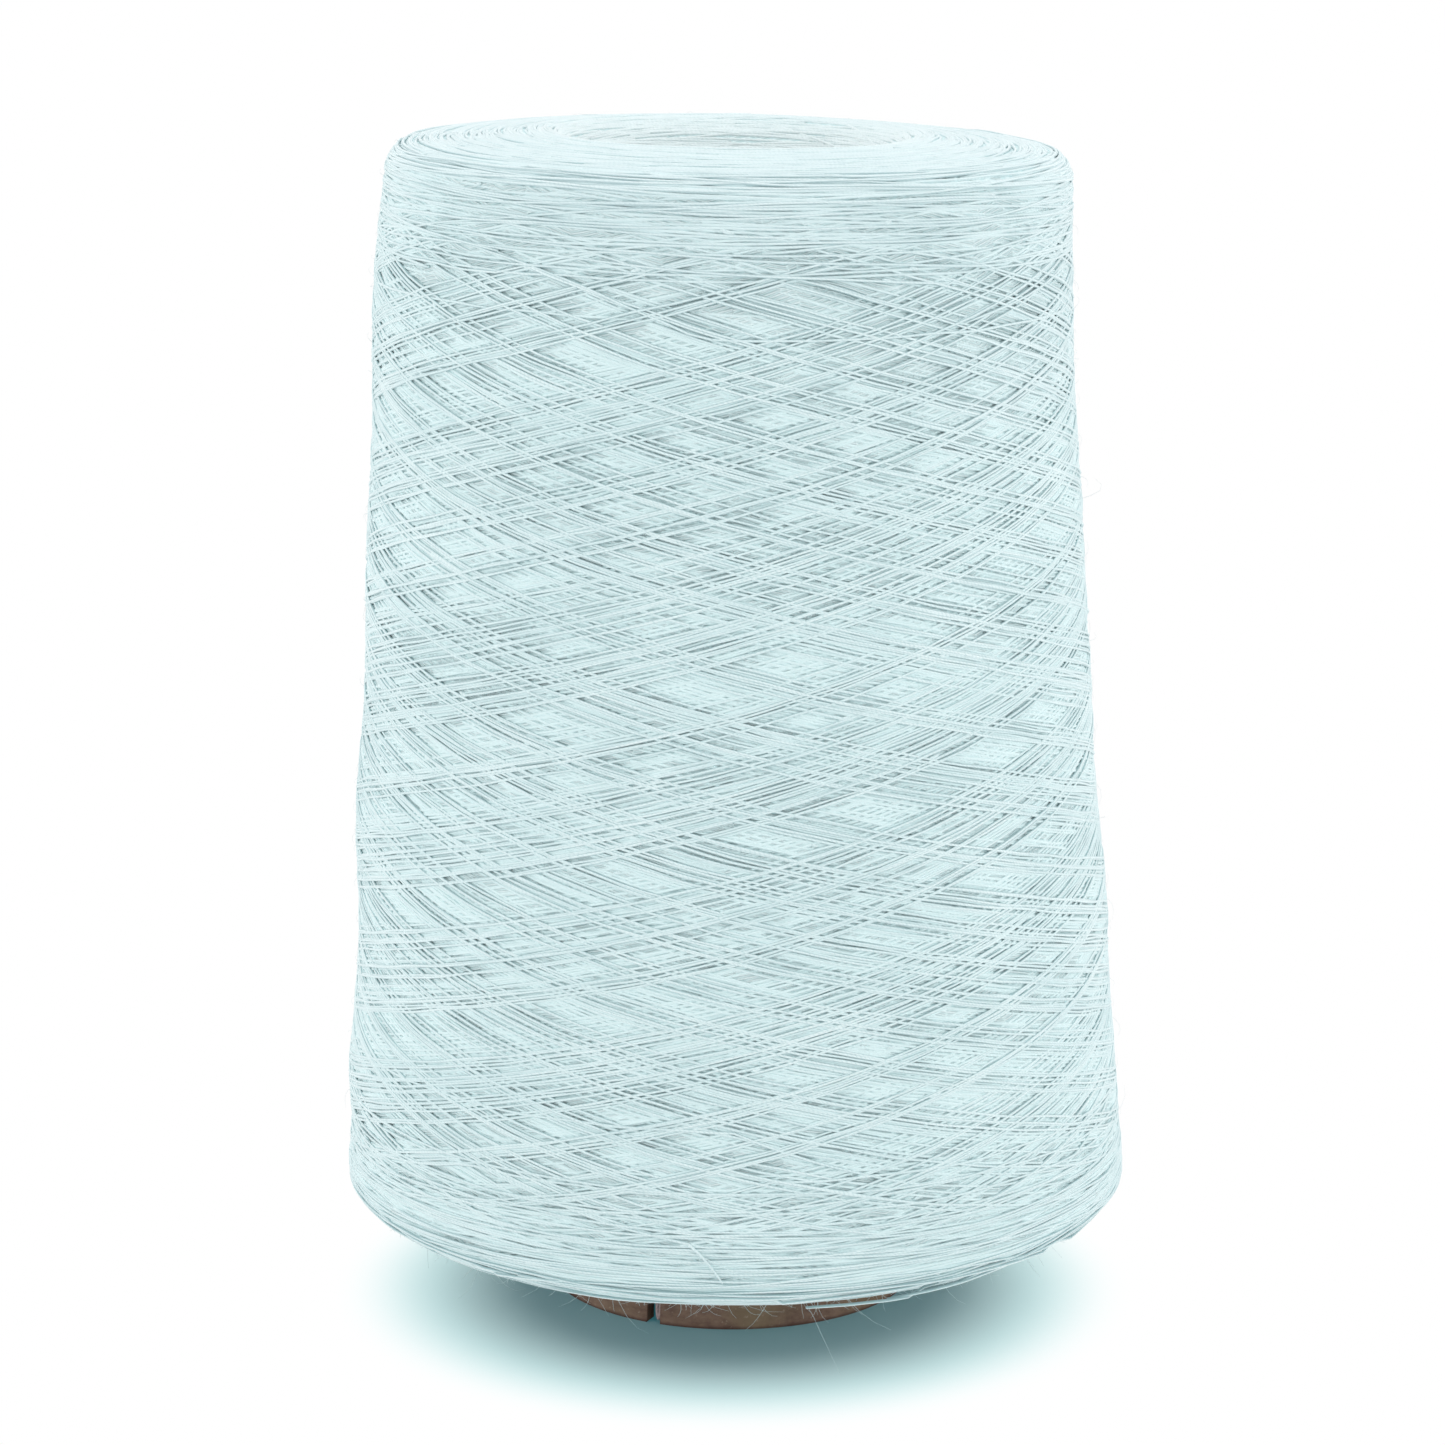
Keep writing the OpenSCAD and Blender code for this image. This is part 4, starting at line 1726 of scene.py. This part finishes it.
@dataclass
class LooseEnds:
    """The first end of the thread at the base, its frayed last end, and the hairs that stand off.

    Names that end in _mm are in millimetres, and those that end in _radii in radii of the thread.
    The last end has where it begins and how far it goes, round the package in degrees, along the
    outline from the lower edge, and above the mean crest. Lengths of hairs are the shape and the
    scale of a gamma distribution.
    """

    package: ThreadPackage
    base_r: float
    slit_angle: float = math.radians(-115)
    wall: float = 2.6 * MM
    tail_loops: float = 2.0
    tail_high: float = 14.46 * MM
    tail_low: float = 3.92 * MM
    tail_inside: float = 12 * MM
    tail_points: int = 260
    tail_off_radii: float = 1.05
    knee_radii: float = 1.2
    loop_points: int = 21
    loop_middle: float = 0.42 * MM
    loop_thick_radii: float = 1.3
    loop_narrow: float = 2.4
    loop_low: float = 0.5 * MM
    loop_high: float = 5 * MM
    loop_flat: float = 0.12
    loop_round: float = 1.2
    loop_in_radii: float = 4.5
    end_points: int = 26
    end_angle: Range = (-98.0, 6.0)
    end_along: Range = (-5.7 * MM, 6.0 * MM)
    end_above: Range = (-0.7 * MM, 1.1 * MM)
    end_taper: float = 0.55
    split_after: int = 12
    split_by: tuple[float, float, float] = (0.03, -1.6 * MM, 0.3 * MM)
    split_thick: float = 0.4
    nep_count: int = 170
    nep_points: int = 7
    nep_half_mm: Range = (0.5, 1.3)
    nep_swell: Range = (1.0, 1.7)
    nep_above: float = -0.12 * MM
    hairs: int = 3400
    hair_points: int = 5
    hair_radius: float = 0.022 * MM
    hair_tip: float = 0.35
    hair_root: float = -0.15 * MM
    hair_curl: float = 0.6
    hair_lift: Range = (0.55, 0.1)
    hair_length: Range = (3, 0.45 * MM)
    crown_shorter: float = 0.45
    crown_reach: float = 25 * MM
    hair_fall: float = 0.1
    rim_hairs: int = 1500
    rim_length: Range = (3, 0.25 * MM)
    loose_length: Range = (4, 0.7 * MM)
    loose_along_mm: Range = (1.5, 8)
    rim_spread_mm: float = 1.2
    rim_fall: Range = (0.2, 0.9)
    rim_thicker: float = 1.6
    # painted shade: the slit loop's thread darkened and warmed as in the cone's shadow with brown bounce
    # light
    painted_shade_loop: ThreadFinish = ThreadFinish(
        name="painted_shade_loop_thread",
        crest=(0.74, 0.56, 0.55),
        shade=(0.60, 0.45, 0.45),
        groove=(0.42, 0.31, 0.31),
        side=(0.20, 0.13, 0.13),
    )

    def __post_init__(self) -> None:
        """Starts the ends' own source of chance."""
        self.rng = np.random.default_rng(SEED + 1)
        self.slit_out = np.array([math.cos(self.slit_angle), math.sin(self.slit_angle)])

    def cone_r(self, z: Array | float) -> Array | float:
        """Returns the paper cone's outer radius at a height."""
        return self.base_r - z * math.tan(TAPER)

    def starter(self) -> Strand:
        """Leads the first end: two loops round the bare base, then through the slit and up.

        Returns:
            The first end.
        """
        radius = self.package.radius
        share = np.linspace(0, 1, self.tail_points)
        z = self.tail_high + (self.tail_low - self.tail_high) * share
        angle = self.slit_angle + TURN * self.tail_loops * (share - 1)
        loops = cylindrical(self.cone_r(z) + radius * self.tail_off_radii, angle, z)
        outer = self.cone_r(self.tail_low)
        inner = outer - self.wall
        drop = 2 * radius
        inside = inner - self.knee_radii * radius
        knees = [
            (outer - drop, self.tail_low - drop),
            (inner + drop, self.tail_low - drop),
            (inside, self.tail_low),
            (inside - self.tail_inside * math.tan(TAPER), self.tail_low + self.tail_inside),
        ]
        through = np.array([(*(self.slit_out * r), z) for r, z in knees])
        points = np.concatenate([loops, through])
        return Strand(points, np.full(len(points), radius))

    def slit_loop(self) -> Strand:
        """Leads a loop of the first end that hangs in the slit, at its side.

        Returns:
            The loop.
        """
        share = np.linspace(-1, 1, self.loop_points)
        thick = self.loop_thick_radii * self.package.radius
        across = self.loop_middle + thick * np.clip(self.loop_narrow * share, -1, 1)
        bow = np.maximum(np.abs(share) - self.loop_flat, 0) ** self.loop_round
        z = self.loop_low + self.loop_high * bow
        r = self.cone_r(z) - self.loop_in_radii * self.package.radius
        aside = np.array([-self.slit_out[1], self.slit_out[0]])
        flat = r[:, None] * self.slit_out + across[:, None] * aside
        return Strand(np.c_[flat, z], np.full(len(share), thick))

    def on_package(self, angle: Array, along: Array, above: Array) -> Array:
        """Finds points over the package.

        Args:
            angle: Their angles round it.
            along: Their places on its outline.
            above: Their heights above its mean crest.

        Returns:
            The points, one in each row.
        """
        package = self.package
        r, z, normal_r, normal_z = package.meridian.at(along)
        return package.uneven.move(cylindrical(r + normal_r * above, angle, z + normal_z * above))

    def frayed_end(self) -> list[Strand]:
        """Leads the last end, which hangs loose over the lower edge.

        Returns:
            The last end and a hair split off it.
        """
        share = np.linspace(0, 1, self.end_points)
        edge = self.package.meridian.marks[Stretch.LOWER_EDGE][0]
        angle = np.radians(self.end_angle[0] + self.end_angle[1] * share**0.8)
        along = edge + self.end_along[0] + self.end_along[1] * share**1.3
        above = self.end_above[0] + self.end_above[1] * smooth(share * 4)
        thick = self.package.radius * (1.0 - self.end_taper * share)
        main = Strand(self.on_package(angle, along, above), thick)
        fork = slice(self.split_after, self.end_points)
        spread = np.linspace(0, 1, self.end_points - self.split_after)
        ways = (way[fork] + by * spread for way, by in zip((angle, along, above), self.split_by))
        return [main, Strand(self.on_package(*ways), thick[fork] * self.split_thick)]

    def hair(self, angle: float, along: float, length: float, fall: float, thicker: float) -> Strand:
        """Lets one hair stand off the package.

        Args:
            angle: Where it leaves the package, round it.
            along: Where it leaves the package, on its outline.
            length: Its length.
            fall: How much it bends down, as a share of its length.
            thicker: How much thicker than a plain hair it is.

        Returns:
            The hair, with its root just under the crest.
        """
        rng, count = self.rng, self.hair_points
        root = self.on_package(np.array([angle]), np.array([along]), np.array([self.hair_root]))[0]
        normal_r, normal_z = (float(v[0]) for v in self.package.meridian.at(np.array([along]))[2:])
        out = np.array([normal_r * math.cos(angle), normal_r * math.sin(angle), normal_z])
        heading = rng.normal(size=3)
        heading -= heading @ out * out
        heading /= np.linalg.norm(heading)
        curl = np.cross(out, heading) * rng.normal(0, self.hair_curl)
        share = np.linspace(0, 1, count)[:, None]
        lift = self.hair_lift[0] * rng.random() + self.hair_lift[1]
        path = heading * share + out * lift * np.sin(share * 2.2) + curl * share**2
        path[:, 2] -= fall * share[:, 0] ** 1.5
        taper = np.linspace(1.0, self.hair_tip, count)
        return Strand(root + path * length, self.hair_radius * thicker * taper)

    def nep(self, angle: float, along: float) -> Strand:
        """Lays a short thick place of the thread.

        Args:
            angle: Its middle, round the package.
            along: Its middle, on the outline.

        Returns:
            The thick place, in the direction of the winding.
        """
        rng, count = self.rng, self.nep_points
        share = np.linspace(-1, 1, count)
        half = rng.uniform(*self.nep_half_mm) * MM
        lean = rng.choice((-1, 1)) * math.tan(self.package.slope)
        r = self.package.meridian.radius_at(along)
        places = along + lean * half * share
        points = self.on_package(angle + share * half / r, places, np.full(count, self.nep_above))
        thick = self.package.radius * rng.uniform(*self.nep_swell)
        return Strand(points, thick * np.sqrt(1.02 - share**2))

    def neps(self) -> list[Strand]:
        """Scatters neps all over the package.

        Returns:
            The neps.
        """
        first = self.package.meridian.marks[Stretch.CROWN][0]
        last = self.package.meridian.marks[Stretch.LOWER_EDGE][1]
        spots = self.rng.uniform((0, first), (TURN, last), (self.nep_count, 2))
        return [self.nep(float(angle), float(along)) for angle, along in spots]

    def all_hairs(self) -> list[Strand]:
        """Scatters hairs all over the package and more along its lower edge.

        Returns:
            The hairs.
        """
        rng, marks = self.rng, self.package.meridian.marks
        first, last = marks[Stretch.SIDE]
        rim = marks[Stretch.LOWER_EDGE][1]
        made = []
        for _ in range(self.hairs):
            along = rng.uniform(first - self.crown_reach, last)
            length = rng.gamma(*self.hair_length) * (self.crown_shorter if along < first else 1.0)
            made.append(self.hair(rng.uniform(0, TURN), along, length, self.hair_fall, 1.0))
        for number in range(self.rim_hairs):
            loose = number % 3 == 0
            out = rng.uniform(*self.loose_along_mm) if loose else rng.normal(0, self.rim_spread_mm)
            length = rng.gamma(*(self.loose_length if loose else self.rim_length))
            angle, fall = rng.uniform(0, TURN), rng.uniform(*self.rim_fall)
            made.append(self.hair(angle, rim + out * MM, length, fall, self.rim_thicker))
        return made

    def build(self) -> None:
        """Makes the pieces."""
        thread = self.package.thread
        starter = StrandMesh("first_end", [self.starter()]).build()
        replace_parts(finish_piece(starter, thread), "starter_tail")
        loop = StrandMesh("slit_loop", [self.slit_loop()]).build()
        # the slit loop takes the painted shade finish
        finish_piece(loop, self.painted_shade_loop.make())
        last = StrandMesh("last_end", self.frayed_end()).build()
        finish_piece(last, thread)
        hairs = StrandMesh("thread_hairs", self.all_hairs(), sides=4).build()
        finish_piece(hairs, thread)
        neps = StrandMesh("thread_neps", self.neps()).build()
        finish_piece(neps, thread)


# ---------------------------------------------------------------------------------------------
# The studio


@dataclass(frozen=True)
class Lamp:
    """A square area lamp, with the length of its side and its power in watts."""

    name: str
    at: Point
    size: float
    power: float
    colour: Colour
    towards: Point = (0.0, 0.0, 0.1)

    def build(self) -> None:
        """Hangs the lamp and turns it."""
        light = bpy.data.lights.new(self.name, "AREA")
        light.size = self.size
        light.energy = self.power
        light.color = self.colour
        made = put_in_scene(self.name, light)
        made.location = self.at
        aim = Vector(self.towards) - Vector(self.at)
        made.rotation_euler = aim.to_track_quat("-Z", "Y").to_euler()


@dataclass
class Studio:
    """Floor, light and camera."""

    camera_at: Point = (-0.0015, -0.640, 0.2355)
    pitch: float = math.radians(13.0)
    focal_pixels: float = 4285.0
    image_pixels: float = 1445.0
    sensor: float = 36.0
    camera_range: Range = (0.05, 50)
    floor_half: float = 6.0
    lamps: tuple[Lamp, ...] = (
        Lamp("lamp_above", (0.0, -0.1, 1.3), 1.1, 3.9, (1.0, 0.94, 0.93)),
        Lamp("lamp_left", (-1.1, -0.6, 0.5), 0.9, 3.7, (1.0, 0.99, 0.98)),
        Lamp("lamp_right", (1.1, -0.5, 0.5), 0.9, 3.8, (1.0, 0.99, 0.98)),
    )

    def build(self) -> None:
        """Makes the whole studio."""
        self.build_floor()
        bpy.context.scene.world = SurroundFinish().make()
        for lamp in self.lamps:
            lamp.build()
        self.build_camera()
        bpy.context.scene.view_settings.view_transform = "Standard"

    def build_floor(self) -> None:
        """Makes the floor."""
        work = bmesh.new()
        bmesh.ops.create_grid(work, x_segments=1, y_segments=1, size=self.floor_half)
        floor = put_mesh("studio_floor", work)
        floor.data.materials.append(FloorFinish().make())

    def build_camera(self) -> None:
        """Makes the camera."""
        data = bpy.data.cameras.new("camera")
        data.sensor_width = self.sensor
        data.lens = self.focal_pixels / self.image_pixels * self.sensor
        data.clip_start, data.clip_end = self.camera_range
        made = put_in_scene("camera", data)
        made.location = self.camera_at
        made.rotation_euler = (math.pi / 2 - self.pitch, 0, 0)
        bpy.context.scene.camera = made


def finish_cone() -> None:
    """Gives the three packed layers of the paper cone their finishes."""
    finishes = {"cone_wrap": KraftFinish(), "cone_board": BoardFinish(), "cone_liner": LinerFinish()}
    for name, finish in finishes.items():
        materials = frame["nodes"][name].data.materials
        materials.clear()
        materials.append(finish.make())
        log.info("%s: %s", name, finish.name)


def main() -> None:
    """Builds everything in order."""
    logging.basicConfig(level=logging.INFO, format="%(name)s: %(message)s")
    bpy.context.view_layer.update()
    base_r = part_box("cone_wrap")[1].x
    meridian = SolidsFit().meridian(base_r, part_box("yarn_mass")[1])
    finish_cone()
    package = ThreadPackage(meridian, Unevenness(), ThreadFinish().make(), UnderThreadFinish().make())
    package.build()
    LooseEnds(package, base_r).build()
    triangles = sum(2 * len(o.data.polygons) for o in bpy.data.objects if o.type == "MESH")
    log.info("about %d triangles in all", triangles)
    Studio().build()
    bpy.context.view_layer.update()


if __name__ == "__main__":
    main()
